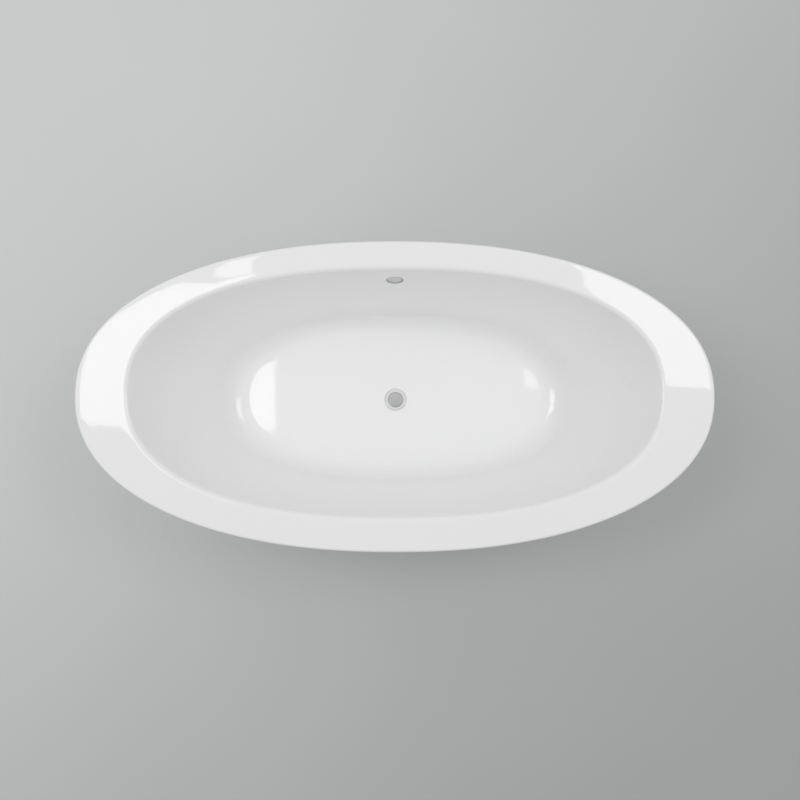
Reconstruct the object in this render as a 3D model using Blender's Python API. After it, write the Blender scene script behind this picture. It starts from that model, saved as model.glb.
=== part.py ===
"""Freestanding oval bathtub: double-skinned acrylic tub on a levelling frame, with waste and overflow.

Metres, +Z up. The origin is the centre of the tub on the floor, +X runs along its length and +Y points
to the overflow side.
"""
import math

import bmesh
import bpy
from mathutils import Matrix, Vector

# Overall size
LENGTH = 1.800
WIDTH = 0.876
HEIGHT = 0.600
RING_POINTS = 48
OUTER_POWER = 2.2
WELL_POWER = 2.35

# Well
SHELL = 0.006
WELL_SHIFT = 0.009
FLOOR_Z = 0.170
FLOOR_FALL = 0.002
FLOOR_A, FLOOR_B = 0.496, 0.220
END_FILLET, SIDE_FILLET = 0.100, 0.060
END_ANGLE, SIDE_ANGLE = math.radians(66.0), math.radians(79.5)
DECK_A, DECK_B = 0.7624, 0.3613
TOP_FILLET = 0.015
EDGE_FILLET = 0.008
LIP_DROP = 0.0345
DRAIN_HOLE = 0.026
RECESS_R = 0.0376
RECESS_Z = 0.163

# Skirt
SKIRT_WALL = 0.005
SKIRT_TOP_A, SKIRT_TOP_B, SKIRT_TOP_Z = 0.8920, 0.4300, 0.565
SKIRT_BASE_A, SKIRT_BASE_B, SKIRT_BASE_Z = 0.640, 0.285, 0.003
SKIRT_BULGE = 0.8

# Frame and feet
BOARD_TOP, BOARD_THICK = 0.1615, 0.012
RAIL, RAIL_WALL = 0.030, 0.002
RAIL_GAP = 0.0004
LONG_RAIL_Y, LONG_RAIL_HALF = 0.110, 0.450
CROSS_RAIL_X, CROSS_RAIL_HALF = 0.400, 0.178
FOOT_Y = 0.155
ROD_R = 0.006
ROD_TOP = 0.140

# Overflow
OVERFLOW_Z = 0.515
OVERFLOW_HOLE = 0.0247
OVERFLOW_LINING = 0.0232
OVERFLOW_DISC = 0.0214
PIPE_BACK = 0.029


def material(name, color, roughness, metallic=0.0):
    """A plain Principled material."""
    made = bpy.data.materials.new(name)
    made.use_nodes = True
    shader = made.node_tree.nodes["Principled BSDF"]
    shader.inputs["Base Color"].default_value = (*color, 1.0)
    shader.inputs["Roughness"].default_value = roughness
    shader.inputs["Metallic"].default_value = metallic
    return made


def acrylic(name):
    return material(name, (0.86, 0.86, 0.86), 0.12)


def white_plastic(name):
    return material(name, (0.80, 0.80, 0.80), 0.25)


def grey_plastic(name):
    return material(name, (0.42, 0.43, 0.44), 0.45)


def black_rubber(name):
    return material(name, (0.03, 0.03, 0.03), 0.8)


def satin_metal(name):
    return material(name, (0.62, 0.62, 0.62), 0.3, 1.0)


def zinc(name):
    return material(name, (0.58, 0.59, 0.60), 0.4, 1.0)


def galvanised(name):
    return material(name, (0.50, 0.51, 0.52), 0.5, 1.0)


def plywood(name):
    return material(name, (0.50, 0.33, 0.18), 0.7)


def add_mesh(name, points, faces, finish, place=None, origin=(0.0, 0.0, 0.0)):
    """One closed object from points and faces, with its normals outwards."""
    mesh = bpy.data.meshes.new(name)
    shift = Vector(origin)
    placed = [(place @ Vector(p)) - shift if place else Vector(p) - shift for p in points]
    mesh.from_pydata([tuple(p) for p in placed], [], faces)
    work = bmesh.new()
    work.from_mesh(mesh)
    bmesh.ops.recalc_face_normals(work, faces=work.faces)
    work.to_mesh(mesh)
    work.free()
    made = bpy.data.objects.new(name, mesh)
    made.location = origin
    bpy.context.scene.collection.objects.link(made)
    if finish:
        mesh.materials.append(finish(name + "_finish"))
    return made


def superellipse(a, za, b, zb, power, shift):
    """A ring of points, at height za on its ends and zb on its sides."""
    ring = []
    for k in range(RING_POINTS):
        angle = 2.0 * math.pi * k / RING_POINTS
        c, s = math.cos(angle), math.sin(angle)
        x = a * math.copysign(abs(c) ** (2.0 / power), c)
        y = b * math.copysign(abs(s) ** (2.0 / power), s) + shift
        ring.append((x, y, za * c * c + zb * s * s))
    return ring


def loft(name, sections, finish):
    """A closed band of rings: the last section joins back to the first."""
    points = [p for section in sections for p in superellipse(*section)]
    faces = []
    for i in range(len(sections)):
        j = (i + 1) % len(sections)
        for k in range(RING_POINTS):
            m = (k + 1) % RING_POINTS
            row, other = i * RING_POINTS, j * RING_POINTS
            faces.append((row + k, row + m, other + m, other + k))
    return add_mesh(name, points, faces, finish)


def turned(name, profile, finish, segments=20, place=None, origin=(0.0, 0.0, 0.0), hexed=()):
    """A turned solid about +Z from a (radius, height) profile. Points listed in hexed are hexagonal."""
    points, rows = [], []
    for i, (radius, height) in enumerate(profile):
        if radius == 0.0:
            rows.append([len(points)] * segments)
            points.append((0.0, 0.0, height))
            continue
        row = []
        for k in range(segments):
            angle = 2.0 * math.pi * k / segments
            reach = radius
            if i in hexed:
                reach = radius / math.cos(math.fmod(angle, math.pi / 3.0) - math.pi / 6.0)
            row.append(len(points))
            points.append((reach * math.cos(angle), reach * math.sin(angle), height))
        rows.append(row)
    hollow = profile[0][0] > 0.0
    faces = []
    for i in range(len(rows) if hollow else len(rows) - 1):
        low, high = rows[i], rows[(i + 1) % len(rows)]
        for k in range(segments):
            m = (k + 1) % segments
            corners = [low[k], low[m], high[m], high[k]]
            faces.append(tuple(dict.fromkeys(corners)))
    return add_mesh(name, points, faces, finish, place, origin)


def tube_profile(inner, outer, low, high):
    return [(inner, low), (outer, low), (outer, high), (inner, high)]


def rod_between(name, radius, start, end, segments=16):
    """A plain cylinder used to join or cut."""
    start, end = Vector(start), Vector(end)
    way = end - start
    place = Matrix.Translation(start) @ way.to_track_quat("Z", "Y").to_matrix().to_4x4()
    long = way.length
    return turned(name, [(0.0, 0.0), (radius, 0.0), (radius, long), (0.0, long)], None, segments, place)


def block(name, low, high, finish=None):
    """A box between two corners."""
    xs, ys, zs = zip(low, high)
    points = [(x, y, z) for z in zs for y in ys for x in xs]
    faces = [(0, 1, 3, 2), (4, 5, 7, 6), (0, 1, 5, 4), (2, 3, 7, 6), (0, 2, 6, 4), (1, 3, 7, 5)]
    return add_mesh(name, points, faces, finish)


def combine(target, other, operation):
    """Joins or cuts target with other, and removes other."""
    modifier = target.modifiers.new("combine", "BOOLEAN")
    modifier.operation = operation
    modifier.solver = "EXACT"
    modifier.object = other
    other.hide_render = True
    other.display_type = "WIRE"
    graph = bpy.context.evaluated_depsgraph_get()
    made = bpy.data.meshes.new_from_object(target.evaluated_get(graph))
    target.modifiers.clear()
    old, spare = target.data, other.data
    target.data = made
    bpy.data.objects.remove(other)
    bpy.data.meshes.remove(old)
    bpy.data.meshes.remove(spare)
    made.name = target.name


def cut(target, other):
    combine(target, other, "DIFFERENCE")


def join(target, other):
    combine(target, other, "UNION")


def overflow_place():
    """The frame on the back wall with +Z straight out of the wall into the well, and +Y up the wall."""
    drop = HEIGHT - TOP_FILLET + TOP_FILLET * math.cos(SIDE_ANGLE) - OVERFLOW_Z
    y = DECK_B - TOP_FILLET * math.sin(SIDE_ANGLE) - drop / math.tan(SIDE_ANGLE) + WELL_SHIFT
    return Matrix.Translation((0.0, y, OVERFLOW_Z)) @ Matrix.Rotation(SIDE_ANGLE, 4, "X")


def floor_rings(offset, shares):
    """Floor rings between the waste recess and the wall, lowered by offset."""
    rings = []
    for share in shares:
        a = RECESS_R + (FLOOR_A - RECESS_R) * share
        b = RECESS_R + (FLOOR_B - RECESS_R) * share ** 0.85
        z = FLOOR_Z - FLOOR_FALL * (1.0 - share) - offset
        rings.append((a, z, b, z, 2.0 + 0.3 * share, WELL_SHIFT * share))
    return rings


def wall_rings(offset, fillet_steps, wall_steps, top_steps):
    """Rings from the edge of the floor up the wall and over to the deck, moved outwards by offset."""
    rings = []
    for k in range(fillet_steps + 1):
        end, side = END_ANGLE * k / fillet_steps, SIDE_ANGLE * k / fillet_steps
        a = FLOOR_A + (END_FILLET + offset) * math.sin(end)
        za = FLOOR_Z + END_FILLET - (END_FILLET + offset) * math.cos(end)
        b = FLOOR_B + (SIDE_FILLET + offset) * math.sin(side)
        zb = FLOOR_Z + SIDE_FILLET - (SIDE_FILLET + offset) * math.cos(side)
        rings.append((a, za, b, zb, 2.3 + 0.05 * k / fillet_steps, WELL_SHIFT))
    over = []
    reach = TOP_FILLET - offset
    for k in range(top_steps + 1):
        end, side = END_ANGLE * (1.0 - k / top_steps), SIDE_ANGLE * (1.0 - k / top_steps)
        a, za = DECK_A - reach * math.sin(end), HEIGHT - TOP_FILLET + reach * math.cos(end)
        b, zb = DECK_B - reach * math.sin(side), HEIGHT - TOP_FILLET + reach * math.cos(side)
        over.append((a, za, b, zb, WELL_POWER, WELL_SHIFT))
    low, high = rings[-1], over[0]
    for k in range(1, wall_steps + 1):
        share = k / (wall_steps + 1)
        rings.append(tuple(p + (q - p) * share for p, q in zip(low, high)))
    return rings + over


def edge_rings():
    """Rings over the outer edge of the deck, down the lip and back up behind it."""
    half, wide = LENGTH / 2.0, WIDTH / 2.0
    middle_a, middle_b = (DECK_A + half) / 2.0, (DECK_B + wide) / 2.0
    rings = [(middle_a, HEIGHT, middle_b, HEIGHT, 2.28, WELL_SHIFT / 2.0)]
    for k in range(4):
        turn = math.pi / 2.0 * k / 3.0
        inset = EDGE_FILLET * (1.0 - math.sin(turn))
        z = HEIGHT - EDGE_FILLET * (1.0 - math.cos(turn))
        rings.append((half - inset, z, wide - inset, z, OUTER_POWER, 0.0))
    low = HEIGHT - LIP_DROP
    for inset, z in (
        (0.0, low + 0.002), (0.0015, low), (0.0045, low), (SHELL, low + 0.002),
        (SHELL, HEIGHT - EDGE_FILLET), (SHELL + 0.003, HEIGHT - SHELL),
    ):
        rings.append((half - inset, z, wide - inset, z, OUTER_POWER, 0.0))
    return rings


def make_basin():
    """The inner shell: floor with a waste recess, sloping walls, deck and turned-down lip."""
    def circle(radius, z):
        return (radius, z, radius, z, 2.0, 0.0)

    under = RECESS_Z - SHELL
    rings = [
        circle(DRAIN_HOLE, under), circle(DRAIN_HOLE, RECESS_Z), circle(0.0350, RECESS_Z),
        circle(0.0372, RECESS_Z + 0.0010), circle(RECESS_R, RECESS_Z + 0.0030),
        circle(RECESS_R + 0.0016, FLOOR_Z - FLOOR_FALL),
    ]
    rings += floor_rings(0.0, (0.25, 0.65))
    rings += wall_rings(0.0, 5, 2, 3)
    rings += edge_rings()
    rings += reversed(wall_rings(SHELL, 4, 1, 2))
    rings += reversed(floor_rings(SHELL, (0.25,)))
    rings += [circle(0.0460, FLOOR_Z - FLOOR_FALL - SHELL), circle(0.0430, under)]
    basin = loft("basin", rings, acrylic)
    at = overflow_place()
    cut(basin, rod_between("hole", OVERFLOW_HOLE, at @ Vector((0, 0, -0.02)), at @ Vector((0, 0, 0.02)), 24))
    return basin


def skirt_half(z, top, base):
    """Half extent of the skirt's outside at height z."""
    share = (z - SKIRT_BASE_Z) / (SKIRT_TOP_Z - SKIRT_BASE_Z)
    return base + (top - base) * max(share, 0.0) ** SKIRT_BULGE if share < 1.0 else top


def make_skirt():
    """The outer shell from under the lip down to just above the floor."""
    def ring(z, inset):
        a = skirt_half(z, SKIRT_TOP_A, SKIRT_BASE_A) - inset
        b = skirt_half(z, SKIRT_TOP_B, SKIRT_BASE_B) - inset
        return (a, z, b, z, OUTER_POWER, 0.0)

    heights = (SKIRT_BASE_Z, 0.030, 0.110, 0.230, 0.360, 0.480, SKIRT_TOP_Z, HEIGHT - SHELL - 0.0008)
    rings = [ring(z, 0.0) for z in heights]
    rings += [ring(z, SKIRT_WALL * 1.08) for z in reversed(heights)]
    return loft("outer_skirt", rings, acrylic)


def make_base_ring(screws):
    """The stiffening ring inside the foot of the skirt."""
    rings = []
    for inset, z in ((0.0, 0.006), (0.0, 0.024), (0.038, 0.024), (0.038, 0.006)):
        rings.append((0.6275 - inset, z, 0.2725 - inset, z, OUTER_POWER, 0.0))
    ring = loft("skirt_base_ring", rings, plywood)
    for x, y in screws:
        cut(ring, rod_between("hole", 0.0028, (x, y, 0.010), (x, y, 0.030), 8))
    return ring


def make_board():
    """The plywood panel bonded under the floor, open around the waste."""
    low = BOARD_TOP - BOARD_THICK
    outer = [(0.460, z, 0.195, z, 2.3, 0.006) for z in (low, BOARD_TOP)]
    inner = [(0.060, z, 0.060, z, 2.0, 0.0) for z in (BOARD_TOP, low)]
    return loft("base_board", outer + inner, plywood)


def make_rail(name, middle, half, along_x):
    """A square steel tube along X or Y."""
    points, faces = [], []
    for end in (-half, half):
        for out in (RAIL / 2.0, RAIL / 2.0 - RAIL_WALL):
            for u, v in ((-1, -1), (1, -1), (1, 1), (-1, 1)):
                offset = (end, u * out, v * out) if along_x else (u * out, end, v * out)
                points.append(tuple(m + o for m, o in zip(middle, offset)))
    for k in range(4):
        m = (k + 1) % 4
        faces += [
            (k, m, 8 + m, 8 + k), (4 + k, 4 + m, 12 + m, 12 + k),
            (k, m, 4 + m, 4 + k), (8 + k, 8 + m, 12 + m, 12 + k),
        ]
    return add_mesh(name, points, faces, galvanised)


def make_frame():
    """Two long rails under the board, and two cross rails under them that carry the feet."""
    long_z = BOARD_TOP - BOARD_THICK - RAIL_GAP - RAIL / 2.0
    cross_z = long_z - RAIL - RAIL_GAP
    for side, word in ((-1, "front"), (1, "back")):
        make_rail("long_rail_" + word, (0.0, side * LONG_RAIL_Y, long_z), LONG_RAIL_HALF, True)
    for end, word in ((-1, "left"), (1, "right")):
        x = end * CROSS_RAIL_X
        rail = make_rail("cross_rail_" + word, (x, 0.0, cross_z), CROSS_RAIL_HALF, False)
        for side in (-1, 1):
            y = side * FOOT_Y
            cut(rail, rod_between("hole", 0.0072, (x, y, 0.05), (x, y, 0.145), 12))
    return cross_z - RAIL / 2.0


def make_foot(tag, x, y, rail_low):
    """A levelling foot: pad, threaded rod with a spanner hexagon, lock nut and weld nut."""
    pad = [
        (0.0, 0.0), (0.0190, 0.0), (0.0200, 0.0015), (0.0195, 0.0050), (0.0120, 0.0080),
        (0.0110, 0.0160), (0.0066, 0.0160), (0.0066, 0.0045), (0.0, 0.0045),
    ]
    turned("foot_pad_" + tag, pad, black_rubber, 16, Matrix.Translation((x, y, 0.0)), (x, y, 0.0))
    rod = [
        (0.0, 0.0048), (0.0045, 0.0048), (ROD_R, 0.0065), (ROD_R, 0.0200), (0.0095, 0.0200),
        (0.0095, 0.0290), (ROD_R, 0.0290), (ROD_R, ROD_TOP - 0.0015), (0.0045, ROD_TOP), (0.0, ROD_TOP),
    ]
    at = Matrix.Translation((x, y, 0.0))
    turned("foot_rod_" + tag, rod, zinc, 12, at, (x, y, 0.0), hexed=(4, 5))
    for word, low, high in (("weld", rail_low - 0.0104, rail_low - 0.0004),
                            ("lock", rail_low - 0.0190, rail_low - 0.0112)):
        profile = tube_profile(ROD_R + 0.0004, 0.0095, low, high)
        turned("foot_%s_nut_%s" % (word, tag), profile, zinc, 12, at, hexed=(1, 2))


def make_bracket(tag, x, y_side, rail_low):
    """A strap from the end of a cross rail down to the ring in the skirt, and its screw."""
    near = CROSS_RAIL_HALF + 0.0005
    outline = [
        (near, rail_low + 0.028), (near + 0.003, rail_low + 0.028), (near + 0.003, 0.0275),
        (0.2120, 0.0275), (0.2120, 0.0245), (near, 0.0245),
    ]
    points = [(x + dx, y_side * y, z) for dx in (-0.0125, 0.0125) for y, z in outline]
    count = len(outline)
    faces = [tuple(range(count)), tuple(range(count, 2 * count))]
    for k in range(count):
        m = (k + 1) % count
        faces.append((k, m, count + m, count + k))
    bracket = add_mesh("skirt_bracket_" + tag, points, faces, galvanised)
    screw_y = y_side * 0.2000
    cut(bracket, rod_between("hole", 0.0029, (x, screw_y, 0.020), (x, screw_y, 0.030), 8))
    screw = [
        (0.0, 0.0120), (0.0024, 0.0140), (0.0024, 0.0277), (0.0048, 0.0277), (0.0048, 0.0292),
        (0.0030, 0.0308), (0.0, 0.0308),
    ]
    at = (x, screw_y, 0.0)
    turned("bracket_screw_" + tag, screw, zinc, 8, Matrix.Translation(at), at)


def make_waste():
    """Waste flange, its seals and nut, the sprung plug, the tee body and the tailpiece."""
    turned("flange_seal", tube_profile(0.0262, 0.0330, 0.1632, 0.1642), black_rubber, 24)
    flange = [
        (0.0200, 0.1240), (0.0244, 0.1240), (0.0244, 0.1644), (0.0330, 0.1644), (0.0335, 0.1662),
        (0.0325, 0.1678), (0.0300, 0.1683), (0.0256, 0.1680), (0.0252, 0.1675), (0.0252, 0.1660),
        (0.0200, 0.1660),
    ]
    turned("waste_flange", flange, white_plastic, 24)
    turned("lower_gasket", tube_profile(0.0250, 0.0330, 0.1538, 0.1568), black_rubber, 24)
    turned("back_nut", tube_profile(0.0250, 0.0330, 0.1446, 0.1536), grey_plastic, 24, hexed=(1, 2))

    spider = turned("waste_spider", tube_profile(0.0168, 0.0194, 0.1360, 0.1420), white_plastic, 24)
    join(spider, block("bar", (-0.0180, -0.0015, 0.1370), (0.0180, 0.0015, 0.1410)))
    join(spider, block("bar", (-0.0015, -0.0180, 0.1370), (0.0015, 0.0180, 0.1410)))
    join(spider, rod_between("hub", 0.0080, (0, 0, 0.1355), (0, 0, 0.1425), 12))
    cut(spider, rod_between("hole", 0.0042, (0, 0, 0.1300), (0, 0, 0.1500), 12))

    at = (0.0, 0.0, 0.1676)
    cap = [
        (0.0, 0.1676), (0.0235, 0.1676), (0.0244, 0.1682), (0.0244, 0.1694), (0.0236, 0.1702),
        (0.0160, 0.1708), (0.0, 0.1711),
    ]
    turned("plug_cap", cap, satin_metal, 24, None, at)
    turned("plug_seal", tube_profile(0.0195, 0.0238, 0.1662, 0.1674), black_rubber, 24, None, at)
    stem = [
        (0.0, 0.1180), (0.0028, 0.1180), (0.0037, 0.1195), (0.0037, 0.1640), (0.0180, 0.1650),
        (0.0180, 0.1674), (0.0, 0.1674),
    ]
    turned("plug_stem", stem, zinc, 12, None, at)

    body = turned("waste_body", [
        (0.0, 0.0700), (0.0245, 0.0700), (0.0245, 0.0800), (0.0290, 0.0850), (0.0290, 0.1430),
        (0.0, 0.1430),
    ], grey_plastic, 20)
    join(body, rod_between("branch", 0.0165, (0, 0.010, 0.100), (0, 0.052, 0.100)))
    bore = turned("bore", [
        (0.0, 0.0650), (0.0207, 0.0650), (0.0207, 0.0885), (0.0225, 0.0900), (0.0225, 0.1200),
        (0.0250, 0.1200), (0.0250, 0.1500), (0.0, 0.1500),
    ], None, 20)
    cut(body, bore)
    cut(body, rod_between("bore", 0.0131, (0, 0.005, 0.100), (0, 0.060, 0.100)))
    nut = [
        (0.0205, 0.0620), (0.0300, 0.0620), (0.0300, 0.0785), (0.0250, 0.0785), (0.0250, 0.0694),
        (0.0205, 0.0694),
    ]
    turned("outlet_nut", nut, grey_plastic, 24, hexed=(1, 2))
    turned("tailpiece", tube_profile(0.0182, 0.0200, 0.0120, 0.0870), grey_plastic, 20)


def make_overflow():
    """The sunk overflow disc, its cup, gasket and body on the back wall, and the pipe to the waste."""
    at = overflow_place()
    turned("overflow_gasket", tube_profile(0.0253, 0.0310, -0.0091, -0.0065), black_rubber, 20, at)
    insert = [
        (0.0160, -0.0180), (0.0194, -0.0180), (0.0194, -0.0060), (OVERFLOW_HOLE - 0.0004, -0.0060),
        (OVERFLOW_HOLE - 0.0004, 0.0007), (0.0258, 0.0007), (0.0256, 0.0014), (OVERFLOW_LINING, 0.0014),
        (OVERFLOW_LINING, -0.0045), (0.0160, -0.0045),
    ]
    turned("overflow_insert", insert, grey_plastic, 24, at)
    cover = turned("overflow_cover", [
        (0.0, -0.0030), (OVERFLOW_DISC, -0.0030), (OVERFLOW_DISC, -0.0018), (OVERFLOW_DISC - 0.0006, -0.0012),
        (0.0, -0.0010),
    ], satin_metal, 24)
    for k in range(3):
        angle = 2.0 * math.pi * (k + 0.25) / 3.0
        x, y = 0.0140 * math.cos(angle), 0.0140 * math.sin(angle)
        join(cover, rod_between("leg", 0.0016, (x, y, -0.0120), (x, y, -0.0020), 8))
    cover.data.transform(at)

    body = turned("overflow_body", [
        (0.0, -0.0460), (0.0270, -0.0460), (0.0270, -0.0128), (0.0315, -0.0128), (0.0315, -0.0093),
        (0.0, -0.0093),
    ], grey_plastic, 20, at @ Matrix.Rotation(0.07, 4, "Z"))
    middle = at @ Vector((0.0, 0.0, -PIPE_BACK))
    down = (at.to_3x3() @ Vector((0.0, -1.0, 0.0))).normalized()
    join(body, rod_between("spigot", 0.0160, middle, middle + down * 0.052))
    cut(body, rod_between("bore", 0.0201, at @ Vector((0, 0, -0.0425)), at @ Vector((0, 0, 0.002)), 20))
    cut(body, rod_between("bore", 0.0131, middle, middle + down * 0.060))

    start = middle + down * 0.044
    path = [
        Vector((0.0, y, z)) for y, z in (
            (0.042, 0.100), (0.105, 0.100), (0.170, 0.101), (0.235, 0.108), (0.268, 0.120),
            (0.292, 0.143), (0.307, 0.178), (0.3165, 0.220), (0.3224, 0.250),
        )
    ] + [start]
    make_pipe("overflow_pipe", path, 0.0125, 0.0108, white_plastic)
    nut = tube_profile(0.0129, 0.0175, 0.0, 0.0130)
    along = down.to_track_quat("Z", "X").to_matrix().to_4x4()
    place = Matrix.Translation(middle + down * 0.0525) @ along
    turned("overflow_pipe_nut", nut, grey_plastic, 12, place, hexed=(1, 2))
    across = Matrix.Translation((0.0, 0.0525, 0.100)) @ Matrix.Rotation(-math.pi / 2.0, 4, "X")
    turned("branch_nut", nut, grey_plastic, 12, across, hexed=(1, 2))


def make_pipe(name, path, outer, inner, finish, segments=12):
    """A pipe along a path in the YZ plane."""
    points = []
    stations = list(range(len(path)))
    for radius, order in ((outer, stations), (inner, stations[::-1])):
        for i in order:
            before, after = path[max(i - 1, 0)], path[min(i + 1, len(path) - 1)]
            way = (after - before).normalized()
            across = Vector((1.0, 0.0, 0.0))
            up = way.cross(across)
            for k in range(segments):
                angle = 2.0 * math.pi * k / segments
                points.append(path[i] + radius * (math.cos(angle) * across + math.sin(angle) * up))
    rows = 2 * len(path)
    faces = []
    for i in range(rows):
        j = (i + 1) % rows
        for k in range(segments):
            m = (k + 1) % segments
            faces.append((i * segments + k, i * segments + m, j * segments + m, j * segments + k))
    return add_mesh(name, points, faces, finish)


def main():
    for old in list(bpy.data.objects):
        bpy.data.objects.remove(old)
    corners = (("fl", -1, -1), ("fr", 1, -1), ("bl", -1, 1), ("br", 1, 1))
    make_basin()
    make_skirt()
    make_base_ring([(sx * CROSS_RAIL_X, sy * 0.2000) for _, sx, sy in corners])
    make_board()
    rail_low = make_frame()
    for tag, sx, sy in corners:
        make_foot(tag, sx * CROSS_RAIL_X, sy * FOOT_Y, rail_low)
        make_bracket(tag, sx * CROSS_RAIL_X, sy, rail_low)
    make_waste()
    make_overflow()


main()
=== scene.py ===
"""Looks for an oval freestanding bathtub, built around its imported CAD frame.

Every length is in metres. +X runs along the tub, +Y points to the overflow side and +Z is up.
"""
import logging
import math
from contextlib import contextmanager
from dataclasses import astuple, dataclass
from enum import Enum
from functools import wraps
from typing import Callable, Iterable, Iterator, Optional, Sequence

import bmesh
import bpy
from mathutils import Matrix, Vector


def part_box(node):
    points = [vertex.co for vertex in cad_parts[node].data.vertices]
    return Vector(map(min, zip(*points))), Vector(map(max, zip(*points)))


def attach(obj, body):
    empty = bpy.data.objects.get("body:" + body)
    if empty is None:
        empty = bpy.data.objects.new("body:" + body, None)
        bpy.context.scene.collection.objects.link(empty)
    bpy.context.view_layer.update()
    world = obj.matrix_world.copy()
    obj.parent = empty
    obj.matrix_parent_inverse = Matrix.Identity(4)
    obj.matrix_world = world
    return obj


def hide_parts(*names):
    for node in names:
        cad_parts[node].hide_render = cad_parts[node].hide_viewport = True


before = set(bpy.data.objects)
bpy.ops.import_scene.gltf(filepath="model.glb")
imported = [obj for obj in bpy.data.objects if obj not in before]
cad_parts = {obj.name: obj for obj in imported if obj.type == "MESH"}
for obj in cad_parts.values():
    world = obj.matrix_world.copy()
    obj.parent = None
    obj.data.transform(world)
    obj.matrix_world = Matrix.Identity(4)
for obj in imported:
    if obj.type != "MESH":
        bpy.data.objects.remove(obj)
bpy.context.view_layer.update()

LOG = logging.getLogger("bathtub")
Color = tuple[float, float, float]
Profile = Sequence[tuple[float, float]]
MERGE = 1e-6
ON_Y = Matrix.Rotation(-math.pi / 2.0, 4, "X")


class Body(Enum):
    """The bodies that a piece may ride on."""

    TUB = "tub"
    PLUG = "plug"
    FOOT_FL, FOOT_FR, FOOT_BL, FOOT_BR = "foot_fl", "foot_fr", "foot_bl", "foot_br"
    ROD_FL, ROD_FR, ROD_BL, ROD_BR = "rod_fl", "rod_fr", "rod_bl", "rod_br"


class Corner(Enum):
    """The four corners of the levelling frame, with their signs along X and Y."""

    FRONT_LEFT = ("fl", -1, -1)
    FRONT_RIGHT = ("fr", 1, -1)
    BACK_LEFT = ("bl", -1, 1)
    BACK_RIGHT = ("br", 1, 1)

    @property
    def tag(self) -> str:
        """The ending of the names of this corner's nodes."""
        return self.value[0]

    def body(self, stem: str) -> Body:
        """This corner's body of a kind, such as foot or rod."""
        return Body(stem + "_" + self.tag)


@dataclass(frozen=True)
class Section:
    """One superelliptic ring, with its own height at its ends and at its sides."""

    half_length: float
    end_height: float
    half_width: float
    side_height: float
    power: float = 2.0
    shift: float = 0.0

    def point(self, angle: float) -> Vector:
        """The ring's point at an angle.

        Args:
            angle: the ring's parameter, in radians.

        Returns:
            The point in the tub's frame.
        """
        c, s = math.cos(angle), math.sin(angle)
        x = self.half_length * math.copysign(abs(c) ** (2.0 / self.power), c)
        y = self.half_width * math.copysign(abs(s) ** (2.0 / self.power), s) + self.shift
        return Vector((x, y, self.end_height * c * c + self.side_height * s * s))

    def angle(self, point: Vector) -> float:
        """The parameter of a point that lies on this ring.

        Args:
            point: a point made by this ring.

        Returns:
            Its angle in radians.
        """
        x, y = point.x / self.half_length, (point.y - self.shift) / self.half_width
        c = math.copysign(abs(x) ** (self.power / 2.0), x)
        s = math.copysign(abs(y) ** (self.power / 2.0), y)
        return math.atan2(s, c)

    def towards(self, other: "Section", share: float) -> "Section":
        """A ring part of the way to another.

        Args:
            other: the ring at share 1.
            share: how far to go, from 0 to 1.

        Returns:
            The ring between them.
        """
        return Section(*(a + (b - a) * share for a, b in zip(astuple(self), astuple(other))))


@dataclass(frozen=True)
class Hoop:
    """One round ring of a pipe whose path lies in the YZ plane."""

    centre: Vector
    up: Vector
    radius: float

    def point(self, angle: float) -> Vector:
        """The hoop's point at an angle from the X axis."""
        return self.centre + self.radius * (Vector((math.cos(angle), 0.0, 0.0)) + math.sin(angle) * self.up)

    def angle(self, point: Vector) -> float:
        """The angle of a point that lies on this hoop."""
        way = point - self.centre
        return math.atan2(way.dot(self.up), way.x)


def circle(radius: float, height: float) -> Section:
    """A round, level ring about the waste."""
    return Section(radius, height, radius, height)


def rounded(inner: float, outer: float, low: float, high: float, soft: float) -> Profile:
    """The outline of a ring's wall with rounded corners.

    Args:
        inner: the ring's inner radius.
        outer: its outer radius.
        low: the height of its underside.
        high: the height of its top.
        soft: the radius of the corners.

    Returns:
        Radius and height pairs, all the way round the wall.
    """
    corners = ((outer - soft, low + soft), (outer - soft, high - soft), (inner + soft, high - soft),
               (inner + soft, low + soft))
    made = []
    for quarter, (radius, height) in enumerate(corners):
        for k in range(4):
            turn = math.radians(90.0 * (quarter - 1) + 30.0 * k)
            made.append((radius + soft * math.cos(turn), height + soft * math.sin(turn)))
    return made


def solid(radius: float, low: float, high: float) -> Profile:
    """The outline of a plain round plug, for cutting bores."""
    return [(0.0, low), (radius, low), (radius, high), (0.0, high)]


def smooth_path(points: Sequence[Vector], steps: int) -> list[Vector]:
    """Points on one smooth curve through others.

    Args:
        points: the points to pass through.
        steps: the steps between two of them.

    Returns:
        The curve's points.
    """
    made = []
    ends = [2.0 * points[0] - points[1], *points, 2.0 * points[-1] - points[-2]]
    for a, b, c, d in zip(ends, ends[1:], ends[2:], ends[3:]):
        for k in range(steps):
            t = k / steps
            made.append(0.5 * (2.0 * b + (c - a) * t + (2.0 * a - 5.0 * b + 4.0 * c - d) * t**2
                               + (3.0 * b - a - 3.0 * c + d) * t**3))
    return [*made, points[-1]]


def foot_of(node: str) -> Vector:
    """The point on the floor under the middle of a CAD node."""
    low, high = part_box(node)
    return Vector(((low.x + high.x) / 2.0, (low.y + high.y) / 2.0, 0.0))


def clear_selection() -> None:
    """Leaves nothing selected, in object mode."""
    if bpy.context.object and bpy.context.object.mode != "OBJECT":
        bpy.ops.object.mode_set(mode="OBJECT")
    bpy.ops.object.select_all(action="DESELECT")


def take(piece: bpy.types.Object) -> None:
    """Selects one piece alone and makes it active.

    Args:
        piece: the piece to select.
    """
    clear_selection()
    piece.select_set(True)
    bpy.context.view_layer.objects.active = piece


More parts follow.
